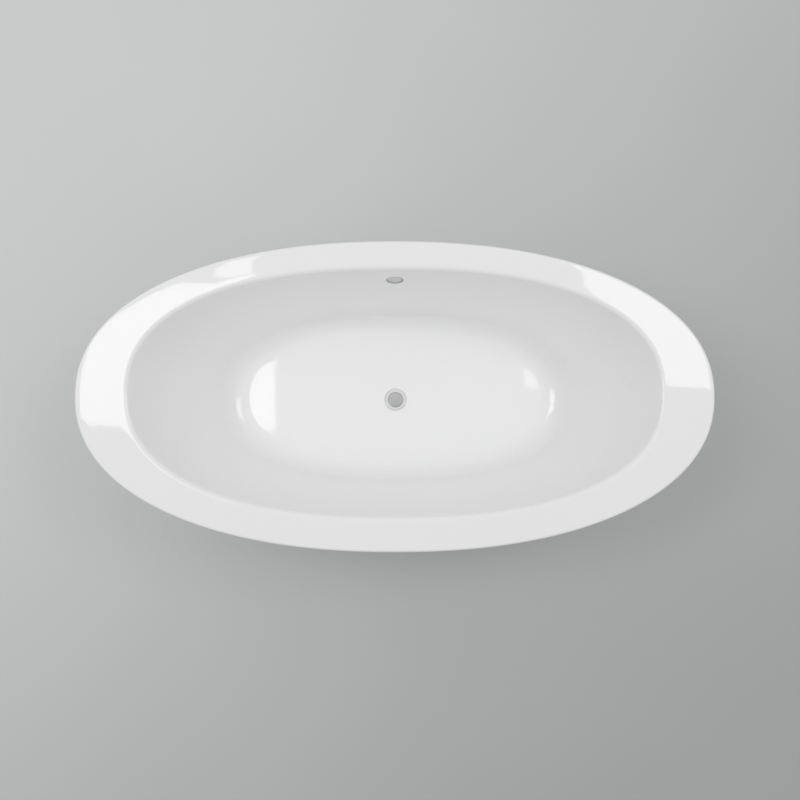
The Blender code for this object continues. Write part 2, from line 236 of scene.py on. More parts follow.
def named(name: str) -> bpy.types.Object:
    """Names the active object and its mesh.

    Args:
        name: the name for both.

    Returns:
        The object.
    """
    piece = bpy.context.active_object
    piece.name = piece.data.name = name
    return piece


@contextmanager
def editing(piece: bpy.types.Object) -> Iterator[None]:
    """Opens a piece in edit mode with all of it selected, and leaves edit mode at the end.

    Args:
        piece: the piece to open.
    """
    take(piece)
    bpy.ops.object.mode_set(mode="EDIT")
    bpy.ops.mesh.select_mode(type="VERT")
    bpy.ops.mesh.select_all(action="SELECT")
    yield
    bpy.ops.object.mode_set(mode="OBJECT")


def pick_edges(piece: bpy.types.Object, wanted: Callable[[Vector, Vector], bool]) -> None:
    """Selects some edges alone, in edit mode.

    Args:
        piece: the piece that is open.
        wanted: says from an edge's two ends whether it is wanted.
    """
    bpy.ops.mesh.select_mode(type="EDGE")
    bpy.ops.mesh.select_all(action="DESELECT")
    for edge in bmesh.from_edit_mesh(piece.data).edges:
        if wanted(edge.verts[0].co, edge.verts[1].co):
            edge.select_set(True)
    bmesh.update_edit_mesh(piece.data)


def close(piece: bpy.types.Object) -> None:
    """Merges doubles and turns the faces outwards.

    Args:
        piece: the piece to close.
    """
    with editing(piece):
        bpy.ops.mesh.remove_doubles(threshold=MERGE)
        bpy.ops.mesh.normals_make_consistent(inside=False)


def ring_band(name: str, sections: Sequence["Section | Hoop"], count: int) -> bpy.types.Object:
    """Extrudes a circle through a closed run of rings.

    Args:
        name: the piece's name.
        sections: the rings in order; the last joins the first.
        count: the points on each ring.

    Returns:
        The closed piece.
    """
    clear_selection()
    bpy.ops.mesh.primitive_circle_add(vertices=count, radius=1.0, fill_type="NOTHING")
    band = named(name)
    step = 2.0 * math.pi / count
    last = sections[0]
    for vertex in band.data.vertices:
        turn = round(math.atan2(vertex.co.y, vertex.co.x) / step) * step
        vertex.co = last.point(turn)
    with editing(band):
        for section in [*sections[1:], sections[0]]:
            bpy.ops.mesh.extrude_edges_move()
            mesh = bmesh.from_edit_mesh(band.data)
            for vertex in mesh.verts:
                if vertex.select:
                    vertex.co = section.point(round(last.angle(vertex.co) / step) * step)
            bmesh.update_edit_mesh(band.data)
            last = section
    close(band)
    return band


def turned(name: str, profile: Profile, steps: int, place: Optional[Matrix] = None) -> bpy.types.Object:
    """Spins a profile about the Z axis, like work on a lathe.

    Args:
        name: the piece's name.
        profile: radius and height pairs, closed on itself or with both ends on the axis.
        steps: the number of steps round the axis.
        place: where the turned piece goes.

    Returns:
        The closed piece.
    """
    clear_selection()
    bpy.ops.mesh.primitive_circle_add(vertices=len(profile), radius=1.0, fill_type="NOTHING")
    piece = named(name)
    for vertex, (radius, height) in zip(piece.data.vertices, profile):
        vertex.co = (radius, 0.0, height)
    with editing(piece):
        pick_edges(piece, lambda a, b: a.x == 0.0 and b.x == 0.0)
        bpy.ops.mesh.delete(type="EDGE_FACE")
        bpy.ops.mesh.select_mode(type="VERT")
        bpy.ops.mesh.select_all(action="SELECT")
        bpy.ops.mesh.spin(steps=steps, angle=2.0 * math.pi, center=(0.0, 0.0, 0.0), axis=(0.0, 0.0, 1.0))
    close(piece)
    if place is not None:
        piece.data.transform(place)
    return piece


def apply(piece: bpy.types.Object, kind: str, **settings: object) -> None:
    """Adds a modifier with its settings and applies it.

    Args:
        piece: the piece to change.
        kind: the modifier's type.
        settings: its settings by name.
    """
    take(piece)
    modifier = piece.modifiers.new(kind.lower(), kind)
    for key, value in settings.items():
        setattr(modifier, key, value)
    bpy.ops.object.modifier_apply(modifier=modifier.name)


def soften(piece: bpy.types.Object, width: float, segments: int, angle: float) -> None:
    """Rounds the sharp edges of a piece.

    Args:
        piece: the piece to round.
        width: the bevel's width.
        segments: the bevel's segments.
        angle: the least angle of an edge, in degrees.
    """
    apply(piece, "BEVEL", width=width, segments=segments, limit_method="ANGLE",
          angle_limit=math.radians(angle), harden_normals=False)


def combine(piece: bpy.types.Object, other: bpy.types.Object, operation: str = "DIFFERENCE") -> None:
    """Cuts or joins a piece with another, which is used up.

    Args:
        piece: the piece that stays.
        other: the cutter, or the part to join.
        operation: DIFFERENCE, UNION or INTERSECT.
    """
    apply(piece, "BOOLEAN", object=other, operation=operation, solver="EXACT")
    bpy.data.objects.remove(other)
    with editing(piece):
        bpy.ops.mesh.dissolve_degenerate(threshold=MERGE)


def smooth(piece: bpy.types.Object, angle: float) -> None:
    """Shades a piece smooth, with edges over an angle left sharp."""
    take(piece)
    bpy.ops.object.shade_smooth_by_angle(angle=math.radians(angle))


def copied(piece: bpy.types.Object, name: str, place: Matrix) -> bpy.types.Object:
    """Copies a piece with a mesh of its own.

    Args:
        piece: the piece to copy.
        name: the copy's name.
        place: where the copy goes.

    Returns:
        The copy.
    """
    made = piece.copy()
    made.data = piece.data.copy()
    made.name = made.data.name = name
    made.data.transform(place)
    bpy.context.scene.collection.objects.link(made)
    return made


def bar(name: str, size: Vector, middle: Vector, soft: float = 0.0) -> bpy.types.Object:
    """A bar along its longest side, with that side's four edges rounded.

    Args:
        name: the piece's name.
        size: its size along X, Y and Z.
        middle: its middle.
        soft: the radius of its long edges.

    Returns:
        The bar.
    """
    clear_selection()
    bpy.ops.mesh.primitive_cube_add(size=1.0, location=middle, scale=size)
    piece = named(name)
    bpy.ops.object.transform_apply(location=True, rotation=True, scale=True)
    if soft:
        axis = max(range(3), key=lambda k: size[k])
        with editing(piece):
            pick_edges(piece, lambda a, b: abs(b[axis] - a[axis]) > 0.99 * (b - a).length)
            bpy.ops.mesh.bevel(offset=soft, segments=5)
    return piece


def hexagon(name: str, across: float, low: float, high: float,
            bore: Optional[Profile] = None) -> bpy.types.Object:
    """A hexagonal nut about Z, with the corners turned off at both ends.

    Args:
        name: the piece's name.
        across: half the width across its flats.
        low: the height of its underside.
        high: the height of its top.
        bore: the outline of what is bored out, if anything.

    Returns:
        The nut.
    """
    sixth = math.pi / 6.0
    corner, flat, over = across / math.cos(sixth), 0.97 * across, 0.0004
    wide = corner * 1.03
    slope = min(0.55, 0.2 * (high - low) / (wide - flat))
    rise, lap = (wide - flat) * slope, flat - over / slope
    clear_selection()
    bpy.ops.mesh.primitive_cylinder_add(vertices=6, radius=corner, depth=high - low,
                                        location=(0.0, 0.0, (low + high) / 2.0), rotation=(0.0, 0.0, sixth))
    nut = named(name)
    bpy.ops.object.transform_apply(location=True, rotation=True, scale=True)
    rims = turned("rims", [(0.0, low - over), (lap, low - over), (wide, low + rise), (wide, high - rise),
                           (lap, high + over), (0.0, high + over)], 50)
    combine(nut, rims, "INTERSECT")
    if bore:
        combine(nut, turned("bore", bore, 48))
    return nut


def threaded(name: str, radius: float, pitch: float, low: float, high: float) -> bpy.types.Object:
    """A right-handed threaded rod about Z, with chamfered ends.

    Args:
        name: the piece's name.
        radius: the thread's outer radius.
        pitch: its pitch.
        low: the height of its lower end.
        high: the height of its upper end.

    Returns:
        The closed rod.
    """
    root, spare = radius - 0.5413 * pitch, 0.0003
    start = low - 2.0 * pitch
    tooth = [(root, 0.0), (root, 0.25), (radius, 0.5625), (radius, 0.6875), (root, 1.0)]
    clear_selection()
    bpy.ops.mesh.primitive_circle_add(vertices=len(tooth), radius=1.0, fill_type="NOTHING")
    rod = named(name)
    for vertex, (reach, share) in zip(rod.data.vertices, tooth):
        vertex.co = (reach, 0.0, start + share * pitch)
    with editing(rod):
        pick_edges(rod, lambda a, b: abs(a.z - b.z) > 0.9 * pitch)
        bpy.ops.mesh.delete(type="EDGE_FACE")
    turns = math.ceil((high - low) / pitch) + 4
    apply(rod, "SCREW", axis="Z", angle=2.0 * math.pi, screw_offset=pitch, iterations=turns, steps=32,
          render_steps=32, use_merge_vertices=True, merge_threshold=1e-5)
    with editing(rod):
        for height, above in ((low - spare, False), (high + spare, True)):
            bpy.ops.mesh.select_all(action="SELECT")
            bpy.ops.mesh.bisect(plane_co=(0.0, 0.0, height), plane_no=(0.0, 0.0, 1.0), use_fill=True,
                                clear_outer=above, clear_inner=not above)
    close(rod)
    wide, chamfer = radius + 0.0001, radius - root
    ends = [(0.0, low), (root, low), (wide, low + chamfer), (wide, high - chamfer), (root, high), (0.0, high)]
    combine(rod, turned("ends", ends, 50), "INTERSECT")
    return rod


class Tree:
    """Short ways to add and link nodes in one tree."""

    def __init__(self, tree: bpy.types.NodeTree) -> None:
        """Keeps the tree that nodes are added to."""
        self.tree = tree

    def node(self, kind: str, **settings: object) -> bpy.types.Node:
        """Adds a node.

        Args:
            kind: the node's type name without its ShaderNode prefix, or its full name.
            settings: properties to set on it.

        Returns:
            The node.
        """
        made = self.tree.nodes.new(kind if kind.startswith("Node") else "ShaderNode" + kind)
        for key, value in settings.items():
            setattr(made, key, value)
        return made

    def link(self, source: bpy.types.NodeSocket, target: bpy.types.NodeSocket) -> None:
        """Links two sockets."""
        self.tree.links.new(source, target)

    def where(self) -> bpy.types.NodeSocket:
        """The object coordinates."""
        return self.node("TexCoord").outputs["Object"]

    def mix(self, share: object, first: object, second: object, **settings: object) -> bpy.types.NodeSocket:
        """Mixes two colours.

        Args:
            share: the second colour's share, as a socket or number.
            first: the first colour, as a socket or value.
            second: the second colour, as a socket or value.
            settings: properties of the mix node.

        Returns:
            The mixed colour.
        """
        made = self.node("Mix", data_type="RGBA", **settings)
        for key, value in (("Factor", share), ("A", first), ("B", second)):
            self.feed(value, made.inputs[key])
        return made.outputs["Result"]

    def feed(self, value: object, socket: bpy.types.NodeSocket) -> None:
        """Links a socket into another, or sets it to a plain value.

        Args:
            value: the socket or plain value to feed.
            socket: the socket that takes it.
        """
        if isinstance(value, bpy.types.NodeSocket):
            self.link(value, socket)
        else:
            socket.default_value = value

    def math(self, operation: str, first: object, second: object = 0.5) -> bpy.types.NodeSocket:
        """Adds a math node on two sockets or numbers.

        Args:
            operation: the math node's operation.
            first: a socket or number.
            second: a socket or number.

        Returns:
            The node's output.
        """
        made = self.node("Math", operation=operation)
        self.feed(first, made.inputs[0])
        self.feed(second, made.inputs[1])
        return made.outputs[0]

    def vector(self, operation: str, first: bpy.types.NodeSocket,
               second: object = None) -> bpy.types.NodeSocket:
        """Adds a vector math node.

        Args:
            operation: the node's operation.
            first: the vector.
            second: what it is worked with, as a socket or value, if anything.

        Returns:
            The node's output.
        """
        made = self.node("VectorMath", operation=operation)
        self.link(first, made.inputs[0])
        if second is not None:
            self.feed(second, made.inputs["Scale"] if operation == "SCALE" else made.inputs[1])
        return made.outputs["Value" if operation in ("DOT_PRODUCT", "LENGTH") else "Vector"]

    def bump(self, height: bpy.types.NodeSocket, strength: float, distance: float) -> bpy.types.NodeSocket:
        """Turns a height into a normal.

        Args:
            height: the height.
            strength: the bump's strength.
            distance: the bump's distance.

        Returns:
            The normal.
        """
        made = self.node("Bump")
        made.inputs["Strength"].default_value = strength
        made.inputs["Distance"].default_value = distance
        self.link(height, made.inputs["Height"])
        return made.outputs["Normal"]

    def spread(self, value: bpy.types.NodeSocket, low: float, high: float, out_low: float, out_high: float
               ) -> bpy.types.NodeSocket:
        """Maps a value from one range to another, smoothly.

        Args:
            value: the socket to map.
            low: the start of its range.
            high: the end of its range.
            out_low: what the start becomes.
            out_high: what the end becomes.

        Returns:
            The mapped value.
        """
        made = self.node("MapRange", interpolation_type="SMOOTHSTEP")
        self.link(value, made.inputs["Value"])
        for key, number in (("From Min", low), ("From Max", high), ("To Min", out_low), ("To Max", out_high)):
            made.inputs[key].default_value = number
        return made.outputs["Result"]

    def noise(self, where: bpy.types.NodeSocket, scale: object, detail: float = 3.0, roughness: float = 0.5
              ) -> bpy.types.NodeSocket:
        """Adds a noise texture.

        Args:
            where: the coordinates.
            scale: a socket or number.
            detail: the noise's detail.
            roughness: the noise's roughness.

        Returns:
            Its value.
        """
        made = self.node("TexNoise")
        self.link(where, made.inputs["Vector"])
        self.feed(scale, made.inputs["Scale"])
        made.inputs["Detail"].default_value = detail
        made.inputs["Roughness"].default_value = roughness
        return made.outputs["Fac"]


def shared(build: Callable[[str], None]) -> Callable[[], bpy.types.NodeTree]:
    """Builds a node group at its first use, and hands out the same one after that.

    Args:
        build: makes the group under the name it is given.

    Returns:
        The function that hands it out.
    """
    @wraps(build)
    def once() -> bpy.types.NodeTree:
        """Hands out the group, built if need be."""
        if build.__name__ not in bpy.data.node_groups:
            build(build.__name__)
        return bpy.data.node_groups[build.__name__]
    return once


def new_group(name: str, inputs: Sequence[tuple[str, str, object]], output: tuple[str, str]
              ) -> tuple[Tree, bpy.types.Node, bpy.types.Node, bpy.types.NodeSocket]:
    """Starts a node group with its sockets.

    Args:
        name: the group's name.
        inputs: name, kind and default of each input.
        output: name and kind of its output.

    Returns:
        The tree, its input node, its output node and its object coordinates.
    """
    made = bpy.data.node_groups.new(name, "ShaderNodeTree")
    for title, kind, value in inputs:
        socket = made.interface.new_socket(title, in_out="INPUT", socket_type="NodeSocket" + kind)
        socket.default_value = value
    made.interface.new_socket(output[0], in_out="OUTPUT", socket_type="NodeSocket" + output[1])
    tree = Tree(made)
    return tree, tree.node("NodeGroupInput"), tree.node("NodeGroupOutput"), tree.where()


@shared
def tone_drift(name: str) -> None:
    """Two colours mixed in soft patches, with a little fine mottle.

    Args:
        name: the group's name.
    """
    tree, come, go, where = new_group(
        name,
        [("Light", "Color", (1, 1, 1, 1)), ("Dark", "Color", (0.5, 0.5, 0.5, 1)), ("Scale", "Float", 4.0),
         ("Mottle", "Float", 0.3)],
        ("Color", "Color"),
    )
    soft = tree.noise(where, come.outputs["Scale"], 2.0)
    fine = tree.noise(where, tree.math("MULTIPLY", come.outputs["Scale"], 23.0), 4.0, 0.65)
    lift = tree.math("MULTIPLY", tree.math("SUBTRACT", fine, 0.5), come.outputs["Mottle"])
    share = tree.math("ADD", tree.spread(soft, 0.3, 0.7, 0.0, 1.0), lift)
    mixed = tree.mix(share, come.outputs["Light"], come.outputs["Dark"], clamp_factor=True)
    tree.link(mixed, go.inputs["Color"])


@shared
def fine_relief(name: str) -> None:
    """The slight waviness and grain of a moulded, rolled or cast skin, as a height.

    Args:
        name: the group's name.
    """
    tree, come, go, where = new_group(
        name, [("Scale", "Float", 60.0), ("Grain", "Float", 0.3)], ("Height", "Float")
    )
    wave = tree.noise(where, come.outputs["Scale"], 1.0)
    grain = tree.noise(where, tree.math("MULTIPLY", come.outputs["Scale"], 14.0), 3.0, 0.6)
    height = tree.math("ADD", wave, tree.math("MULTIPLY", grain, come.outputs["Grain"]))
    tree.link(height, go.inputs["Height"])


@shared
def worn_gloss(name: str) -> None:
    """Roughness with hairline wiping marks and duller patches.

    Args:
        name: the group's name.
    """
    tree, come, go, where = new_group(
        name, [("Roughness", "Float", 0.2), ("Spread", "Float", 0.1), ("Scale", "Float", 5.0)],
        ("Roughness", "Float"),
    )
    bend = tree.node("Mapping")
    bend.inputs["Rotation"].default_value = (0.35, 0.2, 0.6)
    bend.inputs["Scale"].default_value = (1.0, 38.0, 9.0)
    tree.link(where, bend.inputs["Vector"])
    close_up = tree.math("MULTIPLY", come.outputs["Scale"], 2.2)
    mark = tree.spread(tree.noise(bend.outputs["Vector"], close_up, 5.0, 0.7), 0.60, 0.74, 0.0, 1.0)
    dull = tree.spread(tree.noise(where, come.outputs["Scale"], 3.0), 0.35, 0.75, 0.0, 1.0)
    both = tree.math("ADD", tree.math("MULTIPLY", mark, 0.5), dull)
    more = tree.math("MULTIPLY", both, come.outputs["Spread"])
    tree.link(tree.math("ADD", come.outputs["Roughness"], more), go.inputs["Roughness"])


@dataclass(frozen=True)
class Finish:
    """A finish with drifting tone, worn gloss and fine relief, enough for most moulded or rolled surfaces."""

    name: str
    slot: str
    light: Color
    dark: Color
    roughness: float
    spread: float = 0.05
    drift: float = 3.0
    mottle: float = 0.3
    relief: float = 60.0
    grain: float = 0.3
    depth: float = 0.0002
    metallic: float = 0.0
    ior: float = 1.49

    def pattern(self, tree: Tree, shader: bpy.types.Node) -> None:
        """Adds what a kind of finish needs beyond the shared effects, which is nothing here."""

    def made(self) -> bpy.types.Material:
        """The finish's material, built at its first use.

        Returns:
            The material.
        """
        if self.name in bpy.data.materials:
            return bpy.data.materials[self.name]
        material = bpy.data.materials.new(self.name)
        material.use_nodes = True
        tree = Tree(material.node_tree)
        shader = material.node_tree.nodes["Principled BSDF"]
        shader.inputs["Metallic"].default_value = self.metallic
        shader.inputs["IOR"].default_value = self.ior

        for group, target, settings in (
            (tone_drift, "Base Color", {"Light": (*self.light, 1.0), "Dark": (*self.dark, 1.0),
                                        "Scale": self.drift, "Mottle": self.mottle}),
            (worn_gloss, "Roughness", {"Roughness": self.roughness, "Spread": self.spread,
                                       "Scale": self.drift * 1.7}),
            (fine_relief, "Normal", {"Scale": self.relief, "Grain": self.grain}),
        ):
            effect = tree.node("Group", node_tree=group())
            for key, value in settings.items():
                effect.inputs[key].default_value = value
            source = effect.outputs[0]
            if target == "Normal":
                source = tree.bump(source, 1.0, self.depth)
            tree.link(source, shader.inputs[target])
        self.pattern(tree, shader)
        return material

    def dress(self, piece: bpy.types.Object) -> None:
        """Gives a new piece this finish.

        Args:
            piece: the piece to dress.
        """
        piece.data.materials.clear()
        piece.data.materials.append(self.made())


@dataclass(frozen=True)
class TurnedMetal(Finish):
    """Satin metal with fine lines turned about an axis."""

    centre: Color = (0.0, 0.0, 0.0)
    tilt: float = 0.0
    lines: float = 900.0

    def pattern(self, tree: Tree, shader: bpy.types.Node) -> None:
        """Adds the turned lines to the relief.

        Args:
            tree: the material's tree.
            shader: its shader.
        """
        turn = tree.node("VectorRotate", rotation_type="X_AXIS")
        turn.inputs["Angle"].default_value = -self.tilt
        tree.link(tree.vector("SUBTRACT", tree.where(), self.centre), turn.inputs["Vector"])
        radius = tree.node("CombineXYZ")
        flat = tree.vector("MULTIPLY", turn.outputs["Vector"], (1.0, 1.0, 0.0))
        tree.link(tree.vector("LENGTH", flat), radius.inputs["X"])
        rings = tree.noise(radius.outputs["Vector"], self.lines, 2.0, 0.7)
        lined = tree.bump(rings, 0.35, 0.00005)
        tree.link(shader.inputs["Normal"].links[0].from_socket, lined.node.inputs["Normal"])
        tree.link(lined, shader.inputs["Normal"])


@dataclass(frozen=True)
class Spangled(Finish):
    """Hot-dip galvanised steel, with its crystal spangle."""

    crystal: float = 90.0

    def pattern(self, tree: Tree, shader: bpy.types.Node) -> None:
        """Tints the tone by crystal.

        Args:
            tree: the material's tree.
            shader: its shader.
        """
        cells = tree.node("TexVoronoi", feature="F1")
        cells.inputs["Scale"].default_value = self.crystal
        tree.link(tree.where(), cells.inputs["Vector"])
        grey = tree.node("RGBToBW")
        tree.link(cells.outputs["Color"], grey.inputs["Color"])
        shade = tree.spread(grey.outputs["Val"], 0.2, 0.8, 0.55, 1.0)
        base = shader.inputs["Base Color"]
        tree.link(tree.mix(0.45, base.links[0].from_socket, shade, blend_type="MULTIPLY"), base)


@dataclass(frozen=True)
class Plywood(Finish):
    """Sealed plywood: long grain on its faces and plies on its edges."""

    ply: float = 0.0016

    def pattern(self, tree: Tree, shader: bpy.types.Node) -> None:
        """Lays grain and plies over the tone.

        Args:
            tree: the material's tree.
            shader: its shader.
        """
        where = tree.where()
        stretch = tree.node("Mapping")
        stretch.inputs["Scale"].default_value = (1.6, 26.0, 26.0)
        tree.link(where, stretch.inputs["Vector"])
        grain = tree.spread(tree.noise(stretch.outputs["Vector"], 3.0, 6.0, 0.65), 0.35, 0.7, 0.0, 1.0)
        up = (0.0, 0.0, 1.0)
        height = tree.vector("DOT_PRODUCT", where, up)
        plies = tree.math("PINGPONG", tree.math("DIVIDE", height, self.ply), 1.0)
        facing = tree.vector("DOT_PRODUCT", tree.node("NewGeometry").outputs["Normal"], up)
        edge = tree.math("LESS_THAN", tree.math("ABSOLUTE", facing), 0.5)
        share = tree.math("MAXIMUM", tree.math("MULTIPLY", plies, edge), tree.math("MULTIPLY", grain, 0.7))
        base = shader.inputs["Base Color"]
        dark = tree.mix(tree.math("MULTIPLY", share, 0.6), base.links[0].from_socket, (0.46, 0.30, 0.17, 1.0),
                        blend_type="MULTIPLY", clamp_factor=True)
        tree.link(dark, base)


@dataclass(frozen=True)
class Backdrop(Finish):
    """Studio paper with painted light and shade: its colour is scaled lighter towards one corner and darker
    towards the other, as the light falls across the floor.
    """

    # Painted light: the colour grows lighter along this way and darker against it.
    lighter_way: Color = (-0.745, 0.668, 0.0)
    reach: float = 2.2
    darkest: float = 0.80
    lightest: float = 1.32

    def pattern(self, tree: Tree, shader: bpy.types.Node) -> None:
        """Paints light and shade into the tone across the paper.

        Args:
            tree: the material's tree.
            shader: its shader.
        """
        # Painted light and shade: the paper's colour is scaled by its place along the lit way.
        along = tree.vector("DOT_PRODUCT", tree.where(), self.lighter_way)
        level = tree.spread(along, -self.reach, self.reach, self.darkest, self.lightest)
        base = shader.inputs["Base Color"]
        tree.link(tree.vector("SCALE", base.links[0].from_socket, level), base)


ACRYLIC = Finish("polished_acrylic", "white_acrylic", (0.980, 0.980, 0.980), (0.970, 0.971, 0.973), 0.035,
                 spread=0.03, drift=2.0, mottle=0.2, relief=9.0, grain=0.01, depth=0.0002, ior=1.49)
WHITE_PLASTIC = Finish("white_moulding", "white_plastic", (0.83, 0.83, 0.83), (0.79, 0.79, 0.79), 0.22,
                       drift=8.0, relief=120.0, grain=0.2, depth=0.00006)
GREY_PLASTIC = Finish("grey_moulding", "grey_plastic", (0.44, 0.45, 0.46), (0.37, 0.38, 0.39), 0.42,
                      spread=0.12, drift=14.0, mottle=0.5, relief=220.0, grain=0.5, depth=0.00012)
# This grey is partly the overflow cup's own colour and partly painted shade: it darkens the crescent of cup
# seen under the disc, where the gap is in shade.
PALE_PLASTIC = Finish("pale_grey_moulding", "grey_plastic", (0.62, 0.63, 0.635), (0.55, 0.56, 0.565), 0.36,
                      spread=0.10, drift=14.0, mottle=0.4, relief=220.0, grain=0.5, depth=0.00006)
RUBBER = Finish("black_rubber", "rubber", (0.035, 0.035, 0.035), (0.022, 0.022, 0.023), 0.72,
                spread=0.15, drift=22.0, mottle=0.6, relief=320.0, grain=0.6, depth=0.00016)
ZINC = Finish("bright_zinc", "zinc", (0.66, 0.67, 0.68), (0.52, 0.54, 0.57), 0.30,
              spread=0.16, drift=30.0, mottle=0.6, relief=260.0, grain=0.3, depth=0.00004, metallic=1.0)
GALVANISED = Spangled("galvanised_steel", "galvanised_steel", (0.60, 0.61, 0.63), (0.46, 0.48, 0.50), 0.42,
                      spread=0.16, drift=12.0, mottle=0.5, relief=70.0, grain=0.3, depth=0.0001, metallic=1.0)
PLYWOOD = Plywood("sealed_plywood", "plywood", (0.66, 0.49, 0.31), (0.55, 0.38, 0.22), 0.55,
                  spread=0.12, drift=7.0, mottle=0.5, relief=90.0, grain=0.8, depth=0.0003)
# The studio floor carries painted light and shade: lighter to the back left, darker to the front right.
STUDIO_FLOOR = Backdrop("studio_floor", "", (0.594, 0.600, 0.602), (0.579, 0.585, 0.587), 0.75,
                        spread=0.08, drift=0.7, mottle=0.1, relief=14.0, grain=0.2, depth=0.0006)


def ship(piece: bpy.types.Object, node: str, finish: Finish, body: Body = Body.TUB,
         sharp: float = 40.0) -> None:
    """Shades and dresses a finished piece, puts it on its body and lets it stand for a CAD node.

    Args:
        piece: the finished piece.
        node: the CAD node that it stands for.
        finish: what it is made of.
        body: the body it rides on.
        sharp: the least angle of an edge that stays sharp, in degrees, or 0 to keep the piece's own shading.
    """
    if sharp:
        smooth(piece, sharp)
    finish.dress(piece)
    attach(piece, body.value)
    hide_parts(node)
    LOG.info("%s: %d faces, rides on %s", piece.name, len(piece.data.polygons), body.value)


